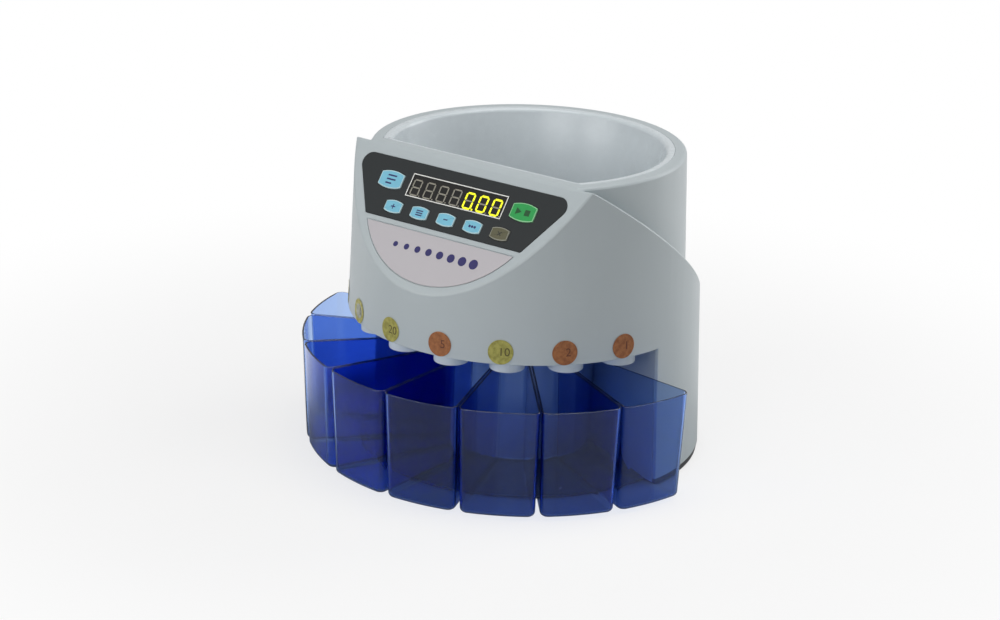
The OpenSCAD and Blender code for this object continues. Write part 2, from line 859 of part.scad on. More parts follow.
module power_supply() {
    color("dimgray") translate([supply_pos[0], supply_pos[1], base_top]) {
        translate([-supply_size[0] / 2 - 5, -supply_size[1] / 2, 0]) cube([supply_size[0] + 10, supply_size[1], 3]);
        translate([-supply_size[0] / 2, -supply_size[1] / 2 + 4, 0]) cube([supply_size[0], supply_size[1] - 8, supply_size[2]]);
        translate([-18, -supply_size[1] / 2, 8]) cube([36, supply_size[1], 26]);
    }
}

module rear_panel() {
    color("dimgray") difference() {
        recess_box(-fit, panel_y - panel_t, panel_y - 0.001);
        translate([inlet_x - 14, panel_y - 10, panel_mid_z - 10]) cube([28, 20, 20]);
        translate([switch_x - 7, panel_y - 10, panel_mid_z - 10]) cube([14, 20, 20]);
        translate([port_x - 10, panel_y - 10, panel_mid_z - 5]) cube([20, 20, 10]);
    }
}

module mains_inlet() {
    color("black") difference() {
        union() {
            translate([inlet_x - 15.5, panel_y, panel_mid_z - 17]) cube([31, 2.5, 34]);
            translate([inlet_x - 13.8, panel_y - 16, panel_mid_z - 9.8]) cube([27.6, 16 + eps, 19.6]);
        }
        translate([inlet_x - 12, panel_y - 13, panel_mid_z - 8]) cube([24, 20, 16]);
    }
    color("silver") for (x = [-7, 0, 7])
        translate([inlet_x + x - 1, panel_y - 13.5, panel_mid_z - (x == 0 ? -2 : 3) - 2]) cube([2, 11, 4]);
}

// Rocker, drawn from its side and tilted to its off position
module power_switch() {
    color("black") translate([switch_x - 6.4, panel_y - 2, panel_mid_z]) rotate([-tilt, 0, 0])
        rotate([90, 0, 90]) linear_extrude(height = 12.8)
            polygon([[-4, -4], [0, -7.8], [5.5, -8.2], [3.6, 0], [5.5, 8.2], [0, 7.8], [-4, 4]]);
}

module printer_port() {
    color("silver") {
        translate([port_x - 14, panel_y, panel_mid_z - 6.2]) cube([28, 1.2, 12.4]);
        translate([port_x - 9.5, panel_y - 8, panel_mid_z - 4.6]) cube([19, 8 + eps, 9.2]);
        translate([port_x - 8, panel_y + 1, panel_mid_z - 3.8]) cube([16, 5, 7.6]);
    }
}

// Coin badges on the skirt, all of one size

module coin_badges() {
    color("peru") for (i = [1:bins]) intersection() {
        difference() {
            shell_cone(badge_z - 20, badge_z + 20, -badge_t);
            shell_cone(badge_z - 21, badge_z + 21, -0.02);
        }
        bearing_at(badge_angle(i)) translate([0, -skirt_r, badge_z]) rotate([90, 0, 0])
            cylinder(h = 20, r = badge_d / 2, center = true);
    }
}

// Bins

// Plan of a bin between two radii; side is the distance of each side wall from the dividing line
module bin_plan(r_out, r_in, side, corner, back_corner) {
    steps = 6;
    a_out = bin_half - asin((side + corner) / (r_out - corner));
    a_in = bin_half - asin((side + back_corner) / (r_in + back_corner));
    out = (r_out - corner) * [sin(a_out), -cos(a_out)];
    back = (r_in + back_corner) * [sin(a_in), -cos(a_in)];
    right = concat(
        [for (k = [0:2]) let(a = a_out * k / 3) r_out * [sin(a), -cos(a)]],
        [for (k = [0:steps]) let(a = a_out + (90 - (a_out - bin_half)) * k / steps) out + corner * [sin(a), -cos(a)]],
        [for (k = [0:4]) let(a = 90 + bin_half + (90 - bin_half) * k / 4) back + back_corner * [sin(a), -cos(a)]]
    );
    left = [for (k = [len(right) - 1:-1:1]) [-right[k][0], right[k][1]]];
    polygon(concat(right, left));
}

module bin_slice(z, lean, inset) {
    t = lean;
    translate([0, 0, z]) linear_extrude(height = eps)
        bin_plan(
            bin_r - t * bin_lean - inset, bin_inner_r + t * bin_side_lean + inset,
            bin_gap / 2 + t * bin_side_lean + inset,
            max(bin_corner - inset, 1), max(bin_back_corner - inset, 1)
        );
}

module coin_bin(i) {
    foot_in = 0.55 * bin_foot;
    foot_t = 1 - bin_foot / (bin_top_z - bin_floor_z);
    floor_in = bin_floor_z + bin_wall;
    color("royalblue", 0.5) bearing_at(bin_angle(i)) difference() {
        hull() {
            bin_slice(bin_top_z - eps, 0, 0);
            bin_slice(bin_floor_z + bin_foot, foot_t, 0);
            bin_slice(bin_floor_z + bin_foot * 0.3, 1, foot_in * 0.3);
            bin_slice(bin_floor_z, 1, foot_in);
        }
        hull() {
            bin_slice(bin_top_z + 1, 0, bin_wall);
            bin_slice(floor_in + bin_foot, foot_t, bin_wall);
            bin_slice(floor_in, 1, bin_wall + foot_in);
        }
    }
}

on_axis() base_plate();
on_axis() rubber_feet();
on_axis() base_screws();
on_axis() housing();
on_axis() bay_liner();
on_axis() hopper();
on_axis() sorting_plate();
on_axis() coin_rail();
on_axis() chute_ring();
on_axis() sensor_board();
on_axis() coin_disc();
on_axis() disc_sweeper();
on_axis() disc_nut();
on_axis() spindle();
on_axis() disc_gear();
on_axis() lower_bearing();
on_axis() upper_bearing();
on_axis() motor_deck();
on_axis() deck_screws();
on_axis() gear_motor();
on_axis() motor_shaft();
on_axis() motor_pinion();
on_axis() keypad_plate();
on_axis() label_plate();
on_axis() display_window();
on_axis() display_module();
on_axis() keypad_board();
on_axis() key_switches();
on_axis() board_screws();
on_axis() on_console() large_key_place(-1) key_body(large_key_l, large_key_h);  // key_report
on_axis() on_console() large_key_place(1) key_body(large_key_l, large_key_h);  // key_start
for (i = [0:4])
    on_axis() on_console() small_key_place(i) key_body(small_key_l, small_key_h);
on_axis() main_board();
on_axis() power_supply();
on_axis() rear_panel();
on_axis() mains_inlet();
on_axis() power_switch();
on_axis() printer_port();
on_axis() coin_badges();
for (i = [1:bins]) on_axis() coin_nozzle(i);
for (i = [1:bins]) on_axis() coin_bin(i);
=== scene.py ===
import math

import bmesh
import bpy
from bpy.props import FloatProperty, FloatVectorProperty, IntProperty, PointerProperty
from mathutils import Matrix, Vector


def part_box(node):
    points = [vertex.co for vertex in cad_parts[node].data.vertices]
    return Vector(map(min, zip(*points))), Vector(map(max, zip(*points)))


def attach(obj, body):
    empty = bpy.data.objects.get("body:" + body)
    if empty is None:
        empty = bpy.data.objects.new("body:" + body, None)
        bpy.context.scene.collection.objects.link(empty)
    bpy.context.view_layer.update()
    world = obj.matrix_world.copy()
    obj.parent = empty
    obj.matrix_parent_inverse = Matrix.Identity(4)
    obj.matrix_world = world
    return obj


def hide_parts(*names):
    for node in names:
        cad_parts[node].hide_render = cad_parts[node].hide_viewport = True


bl_info = {
    "name": "Coin Counter",
    "version": (1, 0, 0),
    "blender": (4, 5, 0),
    "location": "View3D > Sidebar > Coin Counter",
    "description": "Models and finishes the visible pieces of a coin counting machine over its CAD frame",
    "category": "Object",
}

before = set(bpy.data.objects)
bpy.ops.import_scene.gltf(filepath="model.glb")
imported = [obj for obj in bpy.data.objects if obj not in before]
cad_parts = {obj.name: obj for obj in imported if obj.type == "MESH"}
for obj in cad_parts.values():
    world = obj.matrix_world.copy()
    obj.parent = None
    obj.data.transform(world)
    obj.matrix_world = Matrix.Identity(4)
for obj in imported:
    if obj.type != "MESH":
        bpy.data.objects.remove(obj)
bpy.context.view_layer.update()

MM = 0.001
BINS = 8
LEVEL = 0.02 * MM  # Largest height error of a point that counts as lying on a level
PRINT_SUNK = 0.02 * MM
PRINT_RISE = 0.05 * MM
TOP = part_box("housing")[1].z
AXIS = sum(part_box("spindle"), Vector()) / 2
AXIS.z = 0
KEYS = ("key_report", "key_start", "key_plus", "key_batch", "key_minus", "key_set", "key_clear")


def tone(red, green, blue):
    """The linear colour of a display colour given in 0 to 255."""
    parts = [value / 255 for value in (red, green, blue)]
    return tuple(v / 12.92 if v <= 0.04045 else ((v + 0.055) / 1.055) ** 2.4 for v in parts)


def colour_property(name, description, default):
    return FloatVectorProperty(
        name=name, description=description, default=default, size=3, min=0, max=1, subtype="COLOR"
    )


def length_property(name, description, default):
    return FloatProperty(
        name=name, description=description, default=default * MM, min=0, subtype="DISTANCE", unit="LENGTH"
    )


def angle_property(name, description, default):
    return FloatProperty(
        name=name, description=description, default=math.radians(default), subtype="ANGLE", unit="ROTATION"
    )


class CoinCounterColours(bpy.types.PropertyGroup):
    housing: colour_property("Housing", "Colour of the housing's moulding", tone(186, 195, 198))
    hopper: colour_property("Hopper", "Colour of the hopper insert", tone(214, 222, 226))
    bins: colour_property("Bins", "Tint of the clear plastic of the bins", tone(174, 198, 240))
    panel: colour_property("Keypad plate", "Colour of the keypad plate", tone(26, 31, 33))
    label: colour_property("Label plate", "Colour of the label plate", tone(196, 192, 196))
    keys: colour_property("Keys", "Colour of the blue keys", tone(128, 198, 222))
    start_key: colour_property("Start key", "Colour of the start and stop key", tone(40, 158, 78))
    clear_key: colour_property("Clear key", "Colour of the clear key", tone(92, 90, 66))
    digits: colour_property("Digits", "Colour of the lit segments", tone(240, 240, 40))
    print_ink: colour_property("Print", "Colour of the print on keys and label", tone(38, 34, 92))
    base: colour_property("Base", "Colour of the base plate", tone(70, 70, 72))


class CoinCounterHousing(bpy.types.PropertyGroup):
    console_front: length_property("Console front", "Distance of the console's top edge from the axis", 77.8)
    console_slope: angle_property("Console slope", "Slope of the console from the horizontal", 53.3)
    shoulder_slope: angle_property("Shoulder slope", "Slope of the shoulder behind the console", 36)
    rim_radius: length_property("Rim radius", "Outer radius of the drum at its rim", 131)
    skirt_radius: length_property("Skirt radius", "Outer radius of the skirt at its lower edge", 148.5)
    skirt_height: length_property("Skirt height", "Height of the skirt's lower edge", 119.5)
    draft: angle_property("Draft", "Moulding draft of the drum and the housing", 2)
    rim_rounding: length_property("Rim rounding", "Rounding of the drum's outer rim", 3)
    ridge_rounding: length_property("Ridge rounding", "Rounding of the ridges of console and shoulder", 1.4)
    edge_rounding: length_property("Edge rounding", "Rounding of the housing's other edges", 0.5)
    mouth_radius: length_property("Mouth radius", "Inner radius of the hopper at its mouth", 114.5)
    mouth_front: length_property("Mouth front", "Distance of the mouth's straight edge from the axis", 64.6)
    mouth_rounding: length_property("Mouth rounding", "Rounding of the hopper's mouth", 3)


class CoinCounterBins(bpy.types.PropertyGroup):
    pitch: angle_property("Pitch", "Angle between neighbouring bins", 20.75)
    outer_radius: length_property("Outer radius", "Outer radius of the bins at their rims", 187.5)
    inner_radius: length_property("Inner radius", "Inner radius of the bins at their rims", 66.5)
    gap: length_property("Gap", "Gap between neighbouring bins at their rims", 1)
    lean: length_property("Lean", "Amount by which the outer wall leans in towards the floor", 4)
    side_lean: length_property("Side lean", "Amount by which each side wall leans in towards the floor", 1.3)
    wall: length_property("Wall", "Wall of a bin", 1.5)
    corner: length_property("Corner", "Radius of the outer upright corners", 7)
    back_corner: length_property("Back corner", "Radius of the inner upright corners", 4)
    foot: length_property("Foot", "Radius between walls and floor", 4)


class CoinCounterConsole(bpy.types.PropertyGroup):
    digit_pitch: length_property("Digit pitch", "Distance between the middles of two digits", 13.6)
    digit_width: length_property("Digit width", "Width of a digit", 9.4)
    digit_height: length_property("Digit height", "Height of a digit", 14.8)
    digits_down: length_property("Digits down", "Distance of the digits' middle down the console", 31.2)
    stroke: length_property("Stroke", "Width of a lit segment", 1.65)
    dim_stroke: length_property("Dim stroke", "Width of an unlit segment", 1.15)
    digits: IntProperty(name="Digits", description="Number of digits", default=7, min=1, max=9)
    lit: IntProperty(name="Lit digits", description="Number of lit digits, from the right", default=3, min=0)
    discs_down: length_property("Discs down", "Distance of the label's row of discs down the console", 80.8)
    disc_pitch: length_property("Disc pitch", "Distance between the middles of two discs", 11.4)


class CoinCounterBadges(bpy.types.PropertyGroup):
    height: length_property("Height", "Height of the badges' middles above the table", 130)
    thickness: length_property("Thickness", "Thickness of a badge", 0.5)
    diameter: length_property("Diameter", "Diameter of a badge", 20.5)
    pitch: angle_property("Pitch", "Angle between neighbouring badges", 19.8)


COPPER_COIN = ("copper", "copper", "coin_ink_copper")
GOLD_COIN = ("gold", "gold", "coin_ink_gold")
# The numeral of each badge, and the finishes of its ring, its middle and its numeral
BADGES = (
    ("1", COPPER_COIN),
    ("2", COPPER_COIN),
    ("10", GOLD_COIN),
    ("5", COPPER_COIN),
    ("20", GOLD_COIN),
    ("1", ("gold", "silver", "coin_ink_gold")),
    ("50", GOLD_COIN),
    ("2", ("silver", "gold", "coin_ink_gold")),
)


def settings_of(group):
    """The settings that the panel lists under that group."""
    return getattr(bpy.context.scene, "coin_counter_" + group)


def link_object(name, data):
    """A new object of that mesh, curve, light or camera, in the scene."""
    made = bpy.data.objects.new(name, data)
    bpy.context.scene.collection.objects.link(made)
    return made


# Shaders

class Value:
    """One output in a material's node tree, on which plain arithmetic adds Math nodes."""

    def __init__(self, finish, socket):
        self.finish = finish
        self.socket = socket

    def math(self, operation, other=None):
        inputs = {0: self} if other is None else {0: self, 1: other}
        return self.finish.node("ShaderNodeMath", {"operation": operation}, inputs)

    def reflected(self, operation, other):
        return self.finish.node("ShaderNodeMath", {"operation": operation}, {0: other, 1: self})

    def __add__(self, other):
        return self.math("ADD", other)

    def __sub__(self, other):
        return self.math("SUBTRACT", other)

    def __mul__(self, other):
        return self.math("MULTIPLY", other)

    def __truediv__(self, other):
        return self.math("DIVIDE", other)

    def __pow__(self, other):
        return self.math("POWER", other)

    def __rsub__(self, other):
        return self.reflected("SUBTRACT", other)

    __radd__ = __add__
    __rmul__ = __mul__

    def band(self, low, high):
        """0 below low, 1 above high, and a soft step between them."""
        settings = {"interpolation_type": "SMOOTHSTEP"}
        inputs = {"Value": self, "From Min": low, "From Max": high}
        return self.finish.node("ShaderNodeMapRange", settings, inputs)


class Finish:
    """The node tree of one material or world, built from Python expressions."""

    def __init__(self, name, owner=None):
        self.owner = owner or bpy.data.materials.new(name)
        self.owner.use_nodes = True
        self.tree = self.owner.node_tree
        self.tree.nodes.clear()

    def node(self, kind, settings=None, inputs=None, output=0):
        """Adds a node: its type, then its settings, then the values or links of its sockets."""
        node = self.tree.nodes.new(kind)
        for key, value in (settings or {}).items():
            setattr(node, key, value)
        for key, value in (inputs or {}).items():
            self.feed(self.find(node.inputs, key), value)
        return None if output is None else Value(self, self.find(node.outputs, output))

    def find(self, sockets, key):
        if isinstance(key, int):
            return sockets[key]
        return next(socket for socket in sockets if key in (socket.identifier, socket.name))

    def feed(self, socket, value):
        if isinstance(value, Value):
            self.tree.links.new(value.socket, socket)
        elif socket.type == "RGBA" and len(value) == 3:
            socket.default_value = (*value, 1)
        else:
            socket.default_value = value

    def place(self, centre=(0, 0, 0), scale=(1, 1, 1)):
        """Object coordinates, moved so that centre is the origin, then scaled."""
        coordinates = self.node("ShaderNodeTexCoord", output="Object")
        moved = self.node("ShaderNodeVectorMath", {"operation": "SUBTRACT"}, {0: coordinates, 1: centre})
        return self.node("ShaderNodeMapping", {}, {"Vector": moved, "Scale": scale})

    def ray(self, kind):
        """1 for light rays of that kind and 0 for all others."""
        return self.node("ShaderNodeLightPath", output="Is %s Ray" % kind)

    def axes(self, vector):
        """The three numbers of a vector."""
        split = self.node("ShaderNodeSeparateXYZ", {}, {0: vector}).socket.node
        return [Value(self, split.outputs[index]) for index in range(3)]

    def noise(self, scale, vector=None, detail=2.0, roughness=0.5):
        vector = vector or self.place()
        inputs = {"Vector": vector, "Scale": scale, "Detail": detail, "Roughness": roughness}
        return self.node("ShaderNodeTexNoise", {}, inputs)

    def rings(self, vector, scale):
        """Noise that changes only with the distance from the vector's Z axis."""
        x, y, _ = self.axes(vector)
        radius = (x * x + y * y).math("SQRT")
        inputs = {"W": radius, "Scale": scale, "Detail": 3.0}
        return self.node("ShaderNodeTexNoise", {"noise_dimensions": "1D"}, inputs)

    def mix(self, first, second, factor):
        inputs = {"Factor_Float": factor, "A_Color": first, "B_Color": second}
        return self.node("ShaderNodeMix", {"data_type": "RGBA"}, inputs, output="Result_Color")

    def bump(self, height, distance, strength=1.0):
        inputs = {"Height": height, "Distance": distance, "Strength": strength}
        return self.node("ShaderNodeBump", {}, inputs)

    def principled(self, inputs):
        return self.node("ShaderNodeBsdfPrincipled", {}, inputs)

    def output(self, shader, kind="Material", volume=None):
        inputs = {"Surface": shader} if volume is None else {"Surface": shader, "Volume": volume}
        self.node("ShaderNodeOutput" + kind, {}, inputs, output=None)
        return self.owner


def scaled(colour, factor):
    """A lighter or darker colour, of three parts that stay below 1."""
    return tuple(min(1.0, part * factor) for part in colour[:3])


MADE = {}


def finish(name):
    """The material of that name, made once by the function that FINISHES lists for it."""
    if name not in MADE:
        make, *inputs = FINISHES[name]
        inputs = [getattr(settings_of("colours"), i) if isinstance(i, str) else i for i in inputs]
        MADE[name] = make(name, *inputs)
    return MADE[name]


def plastic(name, colour, roughness, mottle=0.03, grain=0.012, gloss=0.5):
    """Moulded plastic: slow colour patches, fine eroded grain and a roughness that wanders."""
    f = Finish(name)
    patches = f.noise(16, detail=3.0)
    wear = f.noise(60, detail=4.0)
    fine = f.noise(2600, detail=2.0)
    shade = f.mix(scaled(colour, 1 - mottle), scaled(colour, 1 + mottle), patches)
    return f.output(f.principled({
        "Base Color": shade,
        "Roughness": roughness + (wear - 0.5) * 0.05 + (fine - 0.5) * 0.06,
        "Specular IOR Level": gloss,
        "Normal": f.bump(fine, grain * MM),
    }))


def metal(name, colour, roughness, vector_scale=(1, 1, 1)):
    """Drawn or milled metal, with streaks along the axis whose scale is small."""
    f = Finish(name)
    streaks = f.noise(900, f.place(scale=vector_scale), detail=3.0)
    clouds = f.noise(40, detail=4.0)
    return f.output(f.principled({
        "Base Color": f.mix(scaled(colour, 0.82), colour, clouds),
        "Metallic": 1.0,
        "Roughness": roughness + (streaks - 0.5) * 0.25 + (clouds - 0.5) * 0.1,
        "Normal": f.bump(streaks, 0.01 * MM),
    }))


def turned_metal(name, colour, roughness):
    """Metal turned on a lathe, with fine rings round the drum axis."""
    f = Finish(name)
    rings = f.rings(f.place(centre=AXIS), 2400)
    clouds = f.noise(45, detail=4.0)
    return f.output(f.principled({
        "Base Color": f.mix(scaled(colour, 0.85), colour, clouds),
        "Metallic": 1.0,
        "Roughness": roughness + (rings - 0.5) * 0.3,
        "Normal": f.bump(rings, 0.012 * MM),
    }))


def rubber(name, colour, roughness):
    """Matt rubber with pores and a little pale dust."""
    f = Finish(name)
    dust = f.noise(70, detail=5.0)
    pores = f.noise(1800, detail=2.0)
    return f.output(f.principled({
        "Base Color": f.mix(colour, scaled(colour, 1.7), dust.band(0.45, 0.8)),
        "Roughness": roughness + (dust - 0.5) * 0.2,
        "Specular IOR Level": 0.35,
        "Normal": f.bump(pores, 0.02 * MM),
    }))


def circuit_board(name):
    """Green solder mask with copper tracks that show through it."""
    f = Finish(name)
    tracks = f.node("ShaderNodeTexBrick", {"offset": 0.37, "squash": 1.3}, {
        "Vector": f.place(), "Scale": 90.0, "Mortar Size": 0.02, "Mortar Smooth": 0.1,
        "Color1": (0, 0, 0), "Color2": (0, 0, 0), "Mortar": (1, 1, 1),
    })
    clouds = f.noise(120)
    mask = f.mix(tone(12, 74, 44), tone(20, 96, 56), clouds)
    return f.output(f.principled({
        "Base Color": f.mix(mask, tone(60, 140, 84), tracks),
        "Roughness": 0.32 + clouds * 0.1,
        "Normal": f.bump(tracks, 0.03 * MM),
    }))


# Share of the bins' tint that lies in the depth of the wall, not at its faces
DEPTH_SHARE = 0.3


def clear_blue(name):
    """Clear blue plastic, tinted at its faces and in its depth, so that its edges show darker."""
    f = Finish(name)
    colour = settings_of("colours").bins
    flow = f.noise(22, detail=2.0)
    scuffs = f.noise(160, detail=6.0, roughness=0.7)
    face_tint = [part ** (1 - DEPTH_SHARE) for part in colour]
    glass = f.principled({
        "Base Color": f.mix(scaled(face_tint, 0.96), scaled(face_tint, 1.03), flow),
        "Roughness": 0.05 + scuffs.band(0.55, 0.8) * 0.14,
        "Transmission Weight": 1.0,
        "IOR": 1.46,
        "Specular IOR Level": 0.09,
        "Normal": f.bump(flow, 0.25 * MM, 0.3),
    })
    clear = f.node("ShaderNodeBsdfTransparent", {}, {"Color": (1, 1, 1)})
    loss = [-math.log(part) * DEPTH_SHARE / settings_of("bins").wall for part in colour]
    density = max(loss) * 1.05
    tint = [1 - part / density for part in loss]
    depth = f.node("ShaderNodeVolumeAbsorption", {}, {"Color": tint, "Density": density})
    unbent = f.ray("Shadow").math("MAXIMUM", f.ray("Diffuse"))
    surface = f.node("ShaderNodeMixShader", {}, {0: unbent, 1: glass, 2: clear})
    return f.output(surface, volume=depth)


def lit_segment(name, colour):
    """A segment that glows a little."""
    f = Finish(name)
    glow = f.mix(scaled(colour, 0.92), colour, f.noise(3000))
    return f.output(f.principled({
        "Base Color": glow,
        "Emission Color": glow,
        "Emission Strength": 0.75,
        "Roughness": 0.4,
    }))


def print_ink(name, colour):
    """Screen print, slightly rough and uneven."""
    f = Finish(name)
    grain = f.noise(1500, detail=3.0)
    return f.output(f.principled({
        "Base Color": f.mix(colour, scaled(colour, 1.25), grain),
        "Roughness": 0.5 + grain * 0.15,
        "Normal": f.bump(grain, 0.005 * MM),
    }))


def coin_face(name, bright, dark):
    """A printed coin: metal colour with darker patches at random."""
    f = Finish(name)
    dark_mottle = f.noise(300, detail=3.0).band(0.3, 0.72)
    fine = f.noise(1500, detail=2.0)
    return f.output(f.principled({
        "Base Color": f.mix(bright, dark, dark_mottle),
        "Metallic": 0.25,
        "Roughness": 0.34 + dark_mottle * 0.2,
        "Normal": f.bump(fine, 0.02 * MM),
    }))


def window_pane(name):
    """The dark, smoky pane over the display."""
    f = Finish(name)
    smoke = f.noise(90, detail=3.0)
    return f.output(f.principled({
        "Base Color": f.mix(tone(22, 22, 22), tone(34, 33, 31), smoke),
        "Roughness": 0.16 + smoke * 0.1,
        "Specular IOR Level": 0.4,
        "Normal": f.bump(smoke, 0.01 * MM),
    }))


# Each finish: its function and that function's inputs, where a name stands for a colour in the panel
FINISHES = {
    "housing_plastic": (plastic, "housing", 0.42, 0.02, 0.01),
    "hopper_plastic": (plastic, "hopper", 0.27, 0.012, 0.004, 0.6),
    "bin_clear": (clear_blue,),
    "panel_black": (plastic, "panel", 0.5, 0.05, 0.008, 0.4),
    "label_satin": (plastic, "label", 0.5, 0.015, 0.006),
    "key_blue_face": (plastic, "keys", 0.5, 0.04, 0.006),
    "key_green_face": (plastic, "start_key", 0.5, 0.05, 0.006),
    "key_olive_face": (plastic, "clear_key", 0.5, 0.05, 0.006),
    # The keys' paler edge finishes are a painted highlight along their rounded edges
    "key_edge_blue": (plastic, tone(196, 226, 232), 0.45),
    "key_edge_green": (plastic, tone(150, 214, 160), 0.45),
    "key_edge_olive": (plastic, tone(150, 150, 136), 0.45),
    "ink_navy": (print_ink, "print_ink"),
    "ink_green": (print_ink, tone(12, 70, 30)),
    "ink_black": (print_ink, tone(30, 30, 26)),
    "ink_silver": (print_ink, tone(226, 226, 222)),
    "segment_dim": (print_ink, tone(142, 138, 126)),
    "segment_lit": (lit_segment, "digits"),
    "window_dark": (window_pane,),
    "nozzle_plastic": (plastic, tone(204, 212, 216), 0.38, 0.02),
    "base_plastic": (plastic, "base", 0.55, 0.06, 0.02),
    "liner_plastic": (plastic, tone(176, 184, 190), 0.5, 0.03),
    "black_plastic": (plastic, tone(30, 31, 33), 0.45, 0.08, 0.015),
    "white_plastic": (plastic, tone(228, 228, 222), 0.42, 0.02),
    "foot_rubber": (rubber, tone(28, 28, 30), 0.75),
    "sweeper_rubber": (rubber, tone(44, 44, 46), 0.6),
    "steel": (metal, tone(190, 192, 194), 0.32),
    "motor_steel": (metal, tone(176, 178, 180), 0.36, (1, 1, 0.04)),
    "aluminium": (metal, tone(205, 207, 208), 0.35, (0.04, 1, 1)),
    "disc_steel": (turned_metal, tone(206, 207, 208), 0.3),
    "brass": (metal, tone(206, 168, 92), 0.3),
    "board": (circuit_board,),
    "copper": (coin_face, tone(178, 116, 72), tone(146, 92, 58)),
    "gold": (coin_face, tone(186, 180, 96), tone(150, 144, 72)),
    "silver": (coin_face, tone(172, 174, 162), tone(140, 144, 132)),
    "coin_ink_copper": (print_ink, tone(92, 52, 34)),
    "coin_ink_gold": (print_ink, tone(84, 76, 40)),
}


# Meshes

def welded(node):
    """A CAD node's mesh with its triangles joined and its flat faces whole again."""
    bm = bmesh.new()
    bm.from_mesh(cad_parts[node].data)
    bmesh.ops.remove_doubles(bm, verts=bm.verts, dist=0.002 * MM)
    bmesh.ops.dissolve_limit(bm, angle_limit=math.radians(0.6), verts=bm.verts, edges=bm.edges)
    return bm


def weigh(bm, widest, rounding):
    """Gives each sharp outer edge its share of the widest rounding."""
    layer = bm.edges.layers.float.new("bevel_weight_edge")
    for edge in bm.edges:
        if edge.is_manifold and edge.is_convex and edge.calc_face_angle(0) > math.radians(24):
            edge[layer] = min(1.0, rounding(edge) / widest)


def round_edges(bm, edges, radius, segments):
    """Rounds edges of the mesh itself."""
    bmesh.ops.bevel(
        bm, geom=edges, offset=radius, offset_type="OFFSET", segments=segments, profile=0.5,
        affect="EDGES", material=-1,
    )


def make_piece(name, bm, materials, body, nodes=(), sharp=40, bevel=None, segments=2):
    """Turns a bmesh into a finished piece that rides on a body, and hides the CAD nodes whose place it
    takes.
    """
    mesh = bpy.data.meshes.new(name)
    bm.to_mesh(mesh)
    bm.free()
    for leftover in ("custom_normal", "sharp_face"):
        if leftover in mesh.attributes:
            mesh.attributes.remove(mesh.attributes[leftover])
    for material in materials:
        mesh.materials.append(finish(material))
    mesh.shade_smooth()
    mesh.set_sharp_from_angle(angle=math.radians(sharp))
    piece = link_object(name, mesh)
    if bevel:
        rounding = piece.modifiers.new("Rounded edges", "BEVEL")
        rounding.limit_method = "WEIGHT"
        rounding.width = bevel
        rounding.segments = segments
        rounding.use_clamp_overlap = False
    even = piece.modifiers.new("Even shading", "WEIGHTED_NORMAL")
    even.keep_sharp = True
    even.weight = 80
    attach(piece, body)
    if nodes:
        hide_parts(*nodes)


def console_matrix():
    """Console frame: X along the console, Y up its slope, Z out of its face."""
    sizes = settings_of("housing")
    edge = Matrix.Translation((0, AXIS.y - sizes.console_front, TOP))
    return edge @ Matrix.Rotation(sizes.console_slope, 4, "X")


def bearing(angle):
    """Turns what is drawn straight ahead, towards -Y, round the drum axis."""
    return Matrix.Translation(AXIS) @ Matrix.Rotation(angle, 4, "Z")


def fan_angle(number, pitch):
    """Bearing of one of the eight bins, nozzles or badges that fan out round the front."""
    return ((BINS + 1) / 2 - number) * pitch


def add_face(bm, outline, height):
    """A face with that outline, which looks up."""
    face = bm.faces.new([bm.verts.new((x, y, height)) for x, y in outline])
    face.normal_update()
    if face.normal.z < 0:
        face.normal_flip()
    return face


def raise_faces(bm, faces, distance):
    """Extrudes faces that look up, and returns the new vertices."""
    raised = bmesh.ops.extrude_face_region(bm, geom=faces)["geom"]
    top = [item for item in raised if isinstance(item, bmesh.types.BMVert)]
    bmesh.ops.translate(bm, verts=top, vec=(0, 0, distance))
    return top


def add_prism(bm, outline, low, high, material=0):
    """A flat shape with that outline between two heights, its faces outwards."""
    face = add_face(bm, outline, low)
    verts = face.verts[:]
    top = raise_faces(bm, [face], high - low)
    for face in {face for vert in verts + top for face in vert.link_faces}:
        face.material_index = material
    return verts + top


def box_outline(x, y, width, height):
    """The corners of a box about its middle, counter-clockwise."""
    w, h = width / 2, height / 2
    return [(x - w, y - h), (x + w, y - h), (x + w, y + h), (x - w, y + h)]


def round_outline(x, y, radius, sides=24):
    steps = [2 * math.pi * step / sides for step in range(sides)]
    return [(x + radius * math.cos(a), y + radius * math.sin(a)) for a in steps]


def lathe(profile):
    """A closed ring turned from a closed profile of (radius, height) points."""
    bm = bmesh.new()
    verts = [bm.verts.new((radius, 0, height)) for radius, height in profile]
    edges = [bm.edges.new((verts[i - 1], verts[i])) for i in range(len(verts))]
    bmesh.ops.spin(
        bm, geom=verts + edges, cent=(0, 0, 0), axis=(0, 0, 1), angle=2 * math.pi, steps=72,
        use_merge=True,
    )
    bmesh.ops.remove_doubles(bm, verts=bm.verts, dist=0.001 * MM)
    bmesh.ops.recalc_face_normals(bm, faces=bm.faces)
    return bm


def shell_radius(z):
    """Outer radius of the leaning skirt at a height."""
    sizes = settings_of("housing")
    return sizes.skirt_radius + math.tan(sizes.draft) * (sizes.skirt_height - z)


# Pieces

